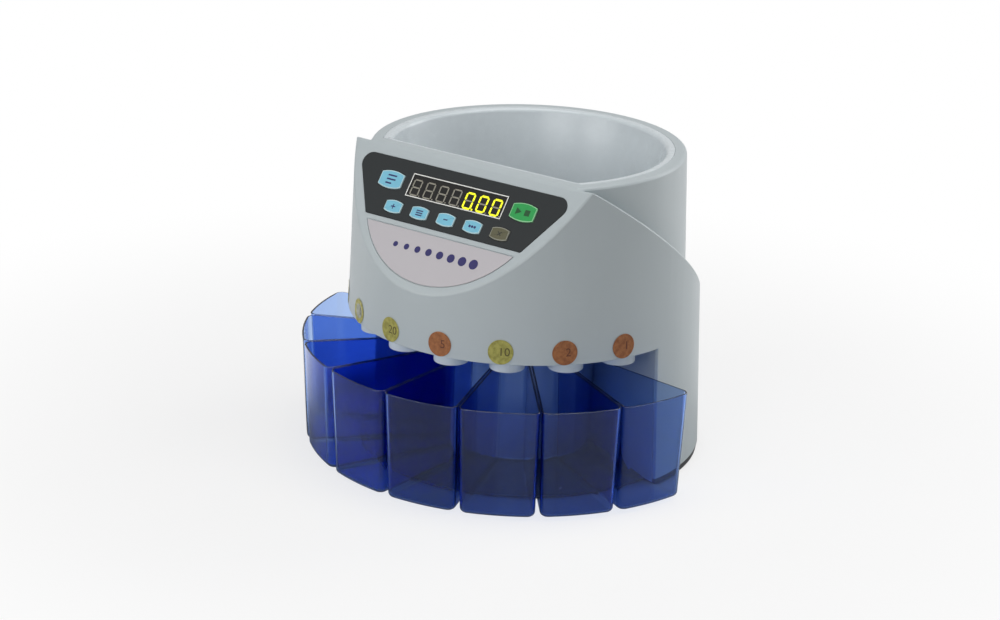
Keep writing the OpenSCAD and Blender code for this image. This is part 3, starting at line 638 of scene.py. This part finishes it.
def build_housing():
    """The housing, each ridge with its own rounding."""
    sizes = settings_of("housing")
    console = console_matrix().inverted()
    shoulder_y = AXIS.y - sizes.console_front
    tan_draft = math.tan(sizes.draft)
    near_round = 0.25 * MM
    near_slope = 0.05 * MM

    def faces_met(point):
        """The named faces of the housing that a point lies on."""
        radius = (point - AXIS).xy.length
        met = set()
        if abs(radius - shell_radius(point.z)) < near_round:
            met.add("shell")
        if abs(radius - sizes.rim_radius - tan_draft * (TOP - point.z)) < near_round:
            met.add("drum")
        if abs((console @ point).z) < near_slope:
            met.add("console")
        fall = (point.y - shoulder_y) * math.sin(sizes.shoulder_slope)
        if abs(fall + (point.z - TOP) * math.cos(sizes.shoulder_slope)) < near_slope:
            met.add("shoulder")
        if abs(point.z - TOP) < LEVEL:
            met.add("top")
        return met

    def rounding(edge):
        met = faces_met(edge.verts[0].co) & faces_met(edge.verts[1].co)
        if {"top", "drum"} <= met:
            return sizes.rim_rounding
        if {"top", "console"} <= met or {"shoulder", "console"} <= met:
            return sizes.ridge_rounding * 1.3
        if {"shell", "shoulder"} <= met or {"shell", "console"} <= met or {"drum", "console"} <= met:
            return sizes.ridge_rounding
        if "top" in met or "console" in met:
            return sizes.edge_rounding * 0.5
        return sizes.edge_rounding if "shell" in met else 0

    bm = welded("housing")
    weigh(bm, sizes.rim_rounding, rounding)
    make_piece(
        "housing_shell", bm, ["housing_plastic"], "machine", ["housing"],
        bevel=sizes.rim_rounding, segments=3,
    )


def build_hopper():
    """The hopper, with a wide rounding at its mouth."""
    sizes = settings_of("housing")
    front = AXIS.y - sizes.mouth_front
    near = 0.3 * MM

    def rounding(edge):
        on_top = all(abs(vert.co.z - TOP) < LEVEL for vert in edge.verts)
        radii = [(vert.co - AXIS).xy.length for vert in edge.verts]
        at_mouth = all(radius < sizes.mouth_radius + near for radius in radii)
        at_front = all(abs(vert.co.y - front) < near for vert in edge.verts)
        if on_top and at_mouth and not at_front:
            return sizes.mouth_rounding
        return 0.8 * MM if on_top and at_front else 0.35 * MM

    bm = welded("hopper")
    weigh(bm, sizes.mouth_rounding, rounding)
    make_piece(
        "hopper_bowl", bm, ["hopper_plastic"], "machine", ["hopper"],
        bevel=sizes.mouth_rounding, segments=4,
    )


FRONT_HALF = -0.1  # What lies at a smaller Y belongs to the outer half of a bin drawn straight ahead
NUB_OUT = 128 * MM
NOZZLE_OUT = 130 * MM


def rise(edge):
    """Difference in height between an edge's ends."""
    return abs(edge.verts[0].co.z - edge.verts[1].co.z)


def build_bin(number):
    """A bin: a leaning wedge with rounded corners, hollowed to an even wall."""
    sizes = settings_of("bins")
    name = "bin_%d" % number
    low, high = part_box(name)
    half = sizes.pitch / 2

    def corners(lean):
        """Outer and inner corner on the right at rim (lean 0) or floor (lean 1)."""
        side = sizes.gap / 2 + lean * sizes.side_lean
        places = []
        outer = sizes.outer_radius - lean * sizes.lean
        inner = sizes.inner_radius + lean * sizes.side_lean
        for radius in (outer, inner):
            angle = half - math.asin(side / radius)
            places.append((radius * math.sin(angle), -radius * math.cos(angle)))
        return places

    # A wedge whose outer wall is cut into strips and laid on an arc
    bm = bmesh.new()
    bmesh.ops.create_cube(bm, size=2)
    for vert in bm.verts:
        lean = 0 if vert.co.z > 0 else 1
        x, y = corners(lean)[0 if vert.co.y < 0 else 1]
        vert.co = (math.copysign(x, vert.co.x), y, high.z if lean == 0 else low.z)
    outer = [e for e in bm.edges if rise(e) < MM and e.calc_length() > 40 * MM
             and abs(e.verts[0].co.y - e.verts[1].co.y) < MM]
    bmesh.ops.subdivide_edges(bm, edges=outer, cuts=1)
    middles = [v for v in bm.verts if abs(v.co.x) < MM and v.co.y < FRONT_HALF]
    halves = [e for v in middles for e in v.link_edges if rise(e) < MM]
    bmesh.ops.subdivide_edges(bm, edges=halves, cuts=3)
    for vert in bm.verts:
        if vert.co.y < FRONT_HALF and abs(vert.co.x) < corners(1)[0][0] - MM:
            radius = sizes.outer_radius - (sizes.lean if vert.co.z < 50 * MM else 0)
            vert.co.y = -math.sqrt(radius * radius - vert.co.x * vert.co.x)
    bm.normal_update()

    # Its corners and foot rounded, its lid taken off and its walls thickened inwards
    upright = [e for e in bm.edges if rise(e) > 50 * MM and e.calc_face_angle(0) > math.radians(40)]
    back = [e for e in upright if e.verts[0].co.y > FRONT_HALF]
    round_edges(bm, [e for e in upright if e.verts[0].co.y < FRONT_HALF], sizes.corner, 8)
    round_edges(bm, [e for e in back if e.is_valid], sizes.back_corner, 8)
    foot = [e for e in bm.edges if max(v.co.z for v in e.verts) < low.z + 0.1 * MM
            and e.calc_face_angle(0) > math.radians(60)]
    round_edges(bm, foot, sizes.foot, 6)
    lid = [f for f in bm.faces if min(v.co.z for v in f.verts) > high.z - 0.1 * MM]
    bmesh.ops.delete(bm, geom=lid, context="FACES")
    bmesh.ops.remove_doubles(bm, verts=bm.verts, dist=0.01 * MM)
    bmesh.ops.recalc_face_normals(bm, faces=bm.faces)
    bmesh.ops.solidify(bm, geom=bm.faces[:], thickness=sizes.wall)
    for vert in bm.verts:
        if vert.co.z > high.z - 2 * MM:
            vert.co.z = high.z

    # The moulding's nub on the floor
    bmesh.ops.create_cone(
        bm, cap_ends=True, segments=16, radius1=1.6 * MM, radius2=1.2 * MM, depth=0.9 * MM,
        matrix=Matrix.Translation((0, -NUB_OUT, low.z + sizes.wall + 0.25 * MM)),
    )
    bm.transform(bearing(fan_angle(number, sizes.pitch)))
    bmesh.ops.recalc_face_normals(bm, faces=bm.faces)
    layer = bm.edges.layers.float.new("bevel_weight_edge")
    for edge in bm.edges:
        at_rim = min(v.co.z for v in edge.verts) > high.z - 0.1 * MM
        if at_rim and edge.calc_face_angle(0) > math.radians(50):
            edge[layer] = 1.0
    make_piece(
        "bin_tray_%d" % number, bm, ["bin_clear"], "bin_body_%d" % number, [name],
        bevel=0.45 * MM, sharp=50,
    )


def build_nozzle(number):
    """A nozzle: a thin tube with a flange at its top and a softened lip."""
    name = "coin_nozzle_%d" % number
    low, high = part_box(name)
    outer = 14.2 * MM
    inner = 13.2 * MM
    flange = 15 * MM
    seat = high.z - 2.5 * MM
    profile = [
        (inner, high.z), (flange, high.z), (flange, seat), (outer, seat),
        (outer, low.z + 0.5 * MM), (outer - 0.15 * MM, low.z + 0.12 * MM), (outer - 0.5 * MM, low.z),
        (inner + 0.3 * MM, low.z), (inner, low.z + 0.4 * MM),
    ]
    bm = lathe(profile)
    angle = fan_angle(number, settings_of("bins").pitch)
    bm.transform(bearing(angle) @ Matrix.Translation((0, -NOZZLE_OUT, 0)))
    make_piece(
        "nozzle_spout_%d" % number, bm, ["nozzle_plastic"], "machine", [name], sharp=50
    )


def soft_copy(node, name, material, width):
    """A piece of the machine with a CAD node's shape and its sharp edges eased."""
    bm = welded(node)
    weigh(bm, width, lambda edge: width)
    make_piece(name, bm, [material], "machine", [node], bevel=width)


def build_label():
    """The half-moon label plate, with a row of rising discs printed on it."""
    soft_copy("label_plate", "label_panel", "label_satin", 0.25 * MM)
    sizes = settings_of("console")
    bm = bmesh.new()
    face = 0.3 * MM
    for index in range(BINS):
        radius = (2.3 + 0.27 * index) * MM
        x = (index - (BINS - 1) / 2) * sizes.disc_pitch + 2.5 * MM
        disc = round_outline(x, -sizes.discs_down, radius, 40)
        add_prism(bm, disc, face - PRINT_SUNK, face + PRINT_RISE)
    bm.transform(console_matrix())
    make_piece("label_print", bm, ["ink_navy"], "machine")


def segment_outlines(x, y, stroke):
    """The seven segments of a digit about its middle, as pointed bars in the order a to g."""
    sizes = settings_of("console")
    half_w = sizes.digit_width / 2 - sizes.stroke / 2
    half_h = sizes.digit_height / 2 - sizes.stroke / 2
    space = 0.18 * MM
    point = stroke / 2

    def bar(start, end):
        along = (end - start).normalized()
        across = Vector((-along.y, along.x)) * stroke / 2
        a = start + along * space
        b = end - along * space
        inner_a = a + along * point
        inner_b = b - along * point
        return [a, inner_a - across, inner_b - across, b, inner_b + across, inner_a + across]

    def at(u, v):
        return Vector((x + u * half_w, y + v * half_h))

    ends = [
        (at(-1, 1), at(1, 1)), (at(1, 1), at(1, 0)), (at(1, 0), at(1, -1)), (at(-1, -1), at(1, -1)),
        (at(-1, 0), at(-1, -1)), (at(-1, 1), at(-1, 0)), (at(-1, 0), at(1, 0)),
    ]
    return [bar(start, end) for start, end in ends]


def add_ring(bm, outline, low, high, line):
    """A frame of a given line width that follows an outline."""
    face = add_face(bm, outline, low)
    ring = bmesh.ops.inset_region(
        bm, faces=[face], thickness=line, use_boundary=True, use_even_offset=True
    )["faces"]
    bmesh.ops.delete(bm, geom=[face], context="FACES")
    raise_faces(bm, ring, high - low)


def build_display():
    """The display window with its printed frame and its seven digits."""
    soft_copy("display_window", "display_pane", "window_dark", 0.2 * MM)
    sizes = settings_of("console")
    low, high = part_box("display_window")
    width = high.x - low.x
    face = 0.4 * MM
    bottom = face - PRINT_SUNK
    top = face + PRINT_RISE
    bm = bmesh.new()
    frame_outline = box_outline(0, -29.6 * MM, width - 0.4 * MM, 20.2 * MM)
    add_ring(bm, frame_outline, bottom, top, 0.85 * MM)
    for digit in range(sizes.digits):
        lit = digit >= sizes.digits - sizes.lit
        x = (digit - (sizes.digits - 1) / 2) * sizes.digit_pitch
        for index in range(7):
            # A lit digit shows 0, so all its segments glow but the last, middle one
            glows = lit and index < 6
            stroke = sizes.stroke if glows else sizes.dim_stroke
            outline = segment_outlines(x, -sizes.digits_down, stroke)[index]
            add_prism(bm, outline, bottom, top, 2 if glows else 1)
        point_x = x + sizes.digit_width / 2 + 1.1 * MM
        point_y = -sizes.digits_down - sizes.digit_height / 2 + 0.9 * MM
        glows = digit == sizes.digits - sizes.lit
        dot = round_outline(point_x, point_y, (0.85 if glows else 0.6) * MM, 16)
        add_prism(bm, dot, bottom, top, 2 if glows else 1)
    bm.transform(console_matrix())
    bmesh.ops.recalc_face_normals(bm, faces=bm.faces)
    inks = ["ink_silver", "segment_dim", "segment_lit"]
    make_piece("display_digits", bm, inks, "machine")


def bars(*shapes):
    """Upright bars, each given in millimetres by its middle, its width and its height."""
    return [box_outline(*(length * MM for length in shape)) for shape in shapes]


def shapes_in_mm(*shapes):
    """Outlines whose points are given in millimetres."""
    return [[(x * MM, y * MM) for x, y in shape] for shape in shapes]


# The outlines printed on each key, about the key's middle
KEY_ICONS = {
    "key_report": bars((0, 3.4, 9, 1.3), (0, 0, 9, 1.3), (-1.5, -3.4, 6, 1.3)),
    "key_plus": bars((0, 0, 4.2, 0.95), (0, 1.3, 0.95, 1.7), (0, -1.3, 0.95, 1.7)),
    "key_minus": bars((0, 0, 4.2, 0.95)),
    "key_batch": bars((0, 1.9, 6.5, 1), (0, 0, 6.5, 1), (0, -1.9, 6.5, 1)),
    "key_set": [round_outline(x * MM, 0, 1.1 * MM) for x in (-2.6, 0, 2.6)],
    "key_clear": shapes_in_mm(
        [(-2, -1.4), (-1.4, -2), (2, 1.4), (1.4, 2)],
        [(-2, 1.4), (-0.55, 0), (-0.1, 0.55), (-1.4, 2)],
        [(0.55, 0), (2, -1.4), (1.4, -2), (0.1, -0.55)],
    ),
    "key_start": shapes_in_mm([(-7, -3), (-1.4, 0), (-7, 3)]) + bars((4, 0, 5, 5)),
}


# Each key's second finish is paler, a painted highlight along its edges
BLUE_KEY = ("key_blue_face", "key_edge_blue", "ink_navy", "key_blue")
KEY_FINISH = {
    "key_start": ("key_green_face", "key_edge_green", "ink_green", "key_green"),
    "key_clear": ("key_olive_face", "key_edge_olive", "ink_black", "key_olive"),
}


def build_key(node):
    """A key: the CAD cap with a pale border, a painted highlight along its edges, a slightly raised face and
    its mark.
    """
    *finishes, slot = KEY_FINISH.get(node, BLUE_KEY)
    console = console_matrix()
    outward = (console.to_3x3() @ Vector((0, 0, 1))).normalized()
    bm = welded(node)
    bm.normal_update()
    tops = [f for f in bm.faces if f.normal.dot(outward) > 0.99]
    highest = max(f.calc_center_median().dot(outward) for f in tops)
    tops = [f for f in tops if f.calc_center_median().dot(outward) > highest - 0.05 * MM]
    middle = sum((f.calc_center_bounds() for f in tops), Vector()) / len(tops)
    rim = [e for e in {e for f in tops for e in f.edges} if e.calc_face_angle(0) > math.radians(30)]
    round_edges(bm, rim, 0.3 * MM, 2)
    tops = [f for f in bm.faces if f.normal.dot(outward) > 0.999
            and f.calc_center_median().dot(outward) > highest - LEVEL]
    # Every face but the cap's face takes the paler finish, a painted highlight along the key's edges
    for face in bm.faces:
        face.material_index = 1
    bmesh.ops.inset_region(bm, faces=tops, thickness=0.45 * MM, use_even_offset=True)
    for face in tops:
        face.material_index = 0
    if len(tops) != 1:
        raise RuntimeError("the cap of %s has %d faces" % (node, len(tops)))
    place = Matrix.Translation(middle) @ console.to_3x3().to_4x4()
    for outline in KEY_ICONS[node]:
        verts = add_prism(bm, outline, -PRINT_SUNK, 0.04 * MM, 2)
        bmesh.ops.transform(bm, matrix=place, verts=verts)
    make_piece(node.replace("key_", "keycap_"), bm, finishes, node + "_body", [node])


def wrap_on_skirt(bm, middle_height):
    """Lays a flat badge, drawn in X and Z with Y outwards, on the leaning skirt."""
    tan_draft = math.tan(settings_of("housing").draft)
    radius = shell_radius(middle_height)
    for vert in bm.verts:
        across, out, up = vert.co
        reach = radius - tan_draft * up + out
        angle = across / radius
        vert.co = (reach * math.sin(angle), -reach * math.cos(angle), middle_height + up)


def add_numeral(bm, text, size, x, material):
    """A plain numeral, centred on x, as a raised shape in X and Y."""
    curve = bpy.data.curves.new("numeral", "FONT")
    curve.body = text
    curve.size = size
    curve.align_x = "CENTER"
    curve.align_y = "CENTER"
    curve.extrude = 0.07 * MM
    holder = link_object("numeral", curve)
    evaluated = holder.evaluated_get(bpy.context.evaluated_depsgraph_get())
    shape = bpy.data.meshes.new_from_object(evaluated)
    old_verts = set(bm.verts)
    old_faces = set(bm.faces)
    bm.from_mesh(shape)
    for face in set(bm.faces) - old_faces:
        face.material_index = material
    bmesh.ops.translate(bm, verts=[v for v in bm.verts if v not in old_verts], vec=(x, 0, 0))
    bpy.data.objects.remove(holder)
    bpy.data.meshes.remove(shape)
    bpy.data.curves.remove(curve)


def build_badge(number):
    """A coin badge: a raised rim, a ring of beads, five bars and a plain numeral."""
    sizes = settings_of("badges")
    radius = sizes.diameter / 2
    value, finishes = BADGES[number - 1]
    bm = bmesh.new()
    bmesh.ops.create_circle(bm, cap_ends=True, segments=72, radius=radius)
    face = bm.faces[:][0]
    bmesh.ops.inset_region(bm, faces=[face], thickness=0.35 * MM, depth=0.12 * MM, use_boundary=True)
    bmesh.ops.inset_region(bm, faces=[face], thickness=0.45 * MM)
    bmesh.ops.inset_region(bm, faces=[face], thickness=0.15 * MM, depth=-0.14 * MM)
    if finishes[0] != finishes[1]:
        bmesh.ops.inset_region(bm, faces=[face], thickness=radius * 0.3)
        bmesh.ops.inset_region(bm, faces=[face], thickness=0.1 * MM, depth=-0.06 * MM)
    face.material_index = 1
    bmesh.ops.poke(bm, faces=[face])
    for x, y in round_outline(0, 0, radius - 1.7 * MM, 36):
        bead = Matrix.Translation((x, y, -0.03 * MM))
        bmesh.ops.create_icosphere(bm, subdivisions=1, radius=0.24 * MM, matrix=bead)
    for step in (-2, -1, 0, 1, 2):
        bar = box_outline(-0.42 * radius, step * 0.2 * radius, 0.34 * radius, 0.06 * radius)
        add_prism(bm, bar, -0.06 * MM, 0.03 * MM, 1)
    add_numeral(bm, value, 0.95 * radius, 0.28 * radius, 2)
    y_and_z_swapped = Matrix(((1, 0, 0, 0), (0, 0, 1, 0), (0, 1, 0, 0), (0, 0, 0, 1)))
    bmesh.ops.transform(bm, matrix=y_and_z_swapped, verts=bm.verts)
    bmesh.ops.translate(bm, verts=bm.verts, vec=(0, sizes.thickness - 0.13 * MM, 0))
    for vert in bm.verts:
        vert.co.y = max(vert.co.y, 0.02 * MM)
    # The swap mirrored the badge, and wrapping it mirrors it back, so its faces still point outwards
    wrap_on_skirt(bm, sizes.height)
    bm.transform(bearing(fan_angle(number, sizes.pitch)))
    nodes = ["coin_badges"] if number == 1 else []
    make_piece("coin_badge_%d" % number, bm, finishes, "machine", nodes, sharp=50)


def dress_node(node, material):
    """Gives a CAD node that keeps its shape its material."""
    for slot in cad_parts[node].material_slots:
        slot.material = finish(material)


# The stage

# Bounces of light, enough to pass the walls of several bins
CLEAR_WALLS = 40
# Strength of the studio's walls for diffuse light, and what mirroring surfaces see besides
SKY = 0.02
SKY_GLOSS = 0.55
# Each softbox: its place, its size and its power in watts
SOFTBOXES = {
    "top_softbox": ((0.1, -0.1, 2.0), (1.4, 1.4), 17),
    "front_left_softbox": ((-0.8, -1.5, 0.75), (0.9, 0.7), 8),
    "front_softbox": ((0.3, -1.8, 0.7), (0.9, 0.7), 6),
    "top_right_softbox": ((1.0, 0.5, 1.7), (0.9, 0.9), 8),
    "back_right_softbox": ((0.6, 1.6, 1.2), (0.7, 0.7), 5),
    "side_right_softbox": ((1.0, 1.7, 0.5), (0.6, 1.0), 8),
}
LIT_POINT = (0, 0, 0.15)
# The photograph's camera, solved from the object's own circles and edges
CAMERA_AZIMUTH = math.radians(36.995)
CAMERA_ELEVATION = math.radians(19.512)
CAMERA_ROLL = math.radians(1.571)
CAMERA_TARGET = AXIS + Vector((-12.93, -16.34, 115.13)) * MM
CAMERA_DISTANCE = 2.0926
CAMERA_LENS = 89.044


def add_floor():
    """A white floor that is even to the camera, and a darker grey, a painted shade, in reflections and
    through the clear bins near the object.
    """
    bm = bmesh.new()
    bmesh.ops.create_grid(bm, x_segments=1, y_segments=1, size=6)
    mesh = bpy.data.meshes.new("floor")
    bm.to_mesh(mesh)
    bm.free()
    floor = link_object("floor", mesh)
    f = Finish("floor_white")
    x, y, _ = f.axes(f.place())
    radius = (x * x + y * y).math("SQRT")
    passed = f.ray("Transmission")
    mirrored = f.ray("Glossy")
    sheet = f.mix((0.86, 0.86, 0.86), (0.9, 0.9, 0.9), f.noise(8))
    # Through the clear bins and in reflections the sheet is a darker grey, a painted shade near the object
    sheet_with_painted_shade = f.mix(sheet, (0.36, 0.36, 0.36), passed.math("MAXIMUM", mirrored))
    paper = f.principled({"Base Color": sheet_with_painted_shade, "Roughness": 0.9})
    white = f.node("ShaderNodeEmission", {}, {"Color": (1, 1, 1), "Strength": 1.0})
    behind = (y * 0.8 - x * 0.6).band(0.0, 0.2)
    beside = passed.math("MAXIMUM", mirrored * behind) * radius.band(0.17, 0.25)
    shade = f.ray("Camera") * (0.72 + radius.band(0.25, 0.75) * 0.28) + beside
    mesh.materials.append(f.output(f.node("ShaderNodeMixShader", {}, {0: shade, 1: paper, 2: white})))


def add_world():
    """White to the camera and through clear plastic, dim to everything else."""
    f = Finish("studio", bpy.data.worlds.new("studio"))
    direct = f.ray("Camera").math("MAXIMUM", f.ray("Transmission"))
    strength = SKY + direct * (1 - SKY) + f.ray("Glossy") * SKY_GLOSS
    background = f.node("ShaderNodeBackground", {}, {"Color": (1, 1, 1), "Strength": strength})
    bpy.context.scene.world = f.output(background, "World")


def add_softbox(name, place, size, power):
    light = bpy.data.lights.new(name, "AREA")
    light.shape = "RECTANGLE"
    light.size, light.size_y = size
    light.energy = power
    holder = link_object(name, light)
    holder.location = place
    holder.rotation_euler = (Vector(LIT_POINT) - Vector(place)).to_track_quat("-Z", "Y").to_euler()


def add_camera():
    camera = bpy.data.cameras.new("camera")
    camera.lens = CAMERA_LENS
    camera.sensor_width = 36
    camera.clip_end = 50
    eye = link_object("camera", camera)
    sin_a, cos_a = math.sin(CAMERA_AZIMUTH), math.cos(CAMERA_AZIMUTH)
    sin_e, cos_e = math.sin(CAMERA_ELEVATION), math.cos(CAMERA_ELEVATION)
    back = Vector((sin_a * cos_e, -cos_a * cos_e, sin_e))
    level = Vector((cos_a, sin_a, 0))
    right = level * math.cos(CAMERA_ROLL) + back.cross(level) * math.sin(CAMERA_ROLL)
    turn = Matrix((right, back.cross(right), back)).transposed()
    eye.matrix_world = Matrix.Translation(CAMERA_TARGET + CAMERA_DISTANCE * back) @ turn.to_4x4()
    bpy.context.scene.camera = eye


def add_stage():
    """Floor, world, softboxes and the camera of the photograph."""
    scene = bpy.context.scene
    scene.view_settings.view_transform = "Standard"
    for kind in ("max", "transmission", "transparent_max"):
        setattr(scene.cycles, kind + "_bounces", CLEAR_WALLS)
    add_floor()
    add_world()
    for name, box in SOFTBOXES.items():
        add_softbox(name, *box)
    add_camera()


# The add-on

class PieceOperator:
    bl_options = {"REGISTER", "UNDO"}


class COINCOUNTER_OT_housing(PieceOperator, bpy.types.Operator):
    """Make the housing with its rounded ridges"""
    bl_idname = "coin_counter.housing"
    bl_label = "Housing"

    def execute(self, context):
        build_housing()
        return {"FINISHED"}


class COINCOUNTER_OT_hopper(PieceOperator, bpy.types.Operator):
    """Make the hopper bowl"""
    bl_idname = "coin_counter.hopper"
    bl_label = "Hopper"

    def execute(self, context):
        build_hopper()
        return {"FINISHED"}


class COINCOUNTER_OT_bins(PieceOperator, bpy.types.Operator):
    """Make the eight clear bins"""
    bl_idname = "coin_counter.bins"
    bl_label = "Bins"

    def execute(self, context):
        for number in range(1, BINS + 1):
            build_bin(number)
        return {"FINISHED"}


class COINCOUNTER_OT_nozzles(PieceOperator, bpy.types.Operator):
    """Make the eight coin nozzles"""
    bl_idname = "coin_counter.nozzles"
    bl_label = "Nozzles"

    def execute(self, context):
        for number in range(1, BINS + 1):
            build_nozzle(number)
        return {"FINISHED"}


class COINCOUNTER_OT_console(PieceOperator, bpy.types.Operator):
    """Make the keypad plate, the label plate and the display"""
    bl_idname = "coin_counter.console"
    bl_label = "Console"

    def execute(self, context):
        soft_copy("keypad_plate", "keypad_panel", "panel_black", 0.3 * MM)
        build_label()
        build_display()
        return {"FINISHED"}


class COINCOUNTER_OT_keys(PieceOperator, bpy.types.Operator):
    """Make the seven keys"""
    bl_idname = "coin_counter.keys"
    bl_label = "Keys"

    def execute(self, context):
        for node in KEYS:
            build_key(node)
        return {"FINISHED"}


class COINCOUNTER_OT_badges(PieceOperator, bpy.types.Operator):
    """Make the eight coin value badges"""
    bl_idname = "coin_counter.badges"
    bl_label = "Badges"

    def execute(self, context):
        for number in range(1, BINS + 1):
            build_badge(number)
        return {"FINISHED"}


class COINCOUNTER_OT_inside(PieceOperator, bpy.types.Operator):
    """Finish the base, the sorting track, the drive, the boards and the rear panel"""
    bl_idname = "coin_counter.inside"
    bl_label = "Base and inner pieces"

    def execute(self, context):
        for material, nodes in INNER_FINISHES.items():
            for node in nodes:
                dress_node(node, material)
        return {"FINISHED"}


class COINCOUNTER_OT_stage(PieceOperator, bpy.types.Operator):
    """Set up the floor, the lights and the camera"""
    bl_idname = "coin_counter.stage"
    bl_label = "Stage"

    def execute(self, context):
        add_stage()
        return {"FINISHED"}


INNER_FINISHES = {
    "base_plastic": ["base_plate"],
    "liner_plastic": ["bay_liner"],
    "foot_rubber": ["rubber_feet"],
    "sweeper_rubber": ["disc_sweeper"],
    "disc_steel": ["coin_disc", "sorting_plate"],
    "steel": ["base_screws", "disc_nut", "spindle", "deck_screws", "board_screws", "lower_bearing",
              "upper_bearing", "motor_shaft", "printer_port"],
    "motor_steel": ["gear_motor"],
    "aluminium": ["coin_rail", "motor_deck"],
    "white_plastic": ["disc_gear", "chute_ring"],
    "brass": ["motor_pinion"],
    "board": ["sensor_board", "keypad_board", "main_board"],
    "black_plastic": ["display_module", "key_switches", "power_supply", "rear_panel", "mains_inlet",
                      "power_switch"],
}

STEPS = ("housing", "hopper", "bins", "nozzles", "console", "keys", "badges", "inside", "stage")


class COINCOUNTER_PT_panel(bpy.types.Panel):
    """Lists the sizes, the colours and the steps"""
    bl_idname = "COINCOUNTER_PT_panel"
    bl_label = "Coin Counter"
    bl_space_type = "VIEW_3D"
    bl_region_type = "UI"
    bl_category = "Coin Counter"

    def draw(self, context):
        for step in STEPS:
            self.layout.operator("coin_counter." + step)
        for group in GROUPS:
            settings = getattr(context.scene, group)
            self.layout.label(text=group.replace("_", " ").capitalize())
            for name in settings.bl_rna.properties.keys():
                if name not in ("rna_type", "name"):
                    self.layout.prop(settings, name)


GROUPS = {
    "coin_counter_colours": CoinCounterColours,
    "coin_counter_housing": CoinCounterHousing,
    "coin_counter_bins": CoinCounterBins,
    "coin_counter_console": CoinCounterConsole,
    "coin_counter_badges": CoinCounterBadges,
}

CLASSES = (
    *GROUPS.values(),
    COINCOUNTER_OT_housing,
    COINCOUNTER_OT_hopper,
    COINCOUNTER_OT_bins,
    COINCOUNTER_OT_nozzles,
    COINCOUNTER_OT_console,
    COINCOUNTER_OT_keys,
    COINCOUNTER_OT_badges,
    COINCOUNTER_OT_inside,
    COINCOUNTER_OT_stage,
    COINCOUNTER_PT_panel,
)


def register():
    for cls in CLASSES:
        bpy.utils.register_class(cls)
    for name, group in GROUPS.items():
        setattr(bpy.types.Scene, name, PointerProperty(type=group))


def unregister():
    for name in GROUPS:
        delattr(bpy.types.Scene, name)
    for cls in reversed(CLASSES):
        bpy.utils.unregister_class(cls)


def main():
    register()
    for step in STEPS:
        getattr(bpy.ops.coin_counter, step)()


if __name__ == "__main__":
    main()
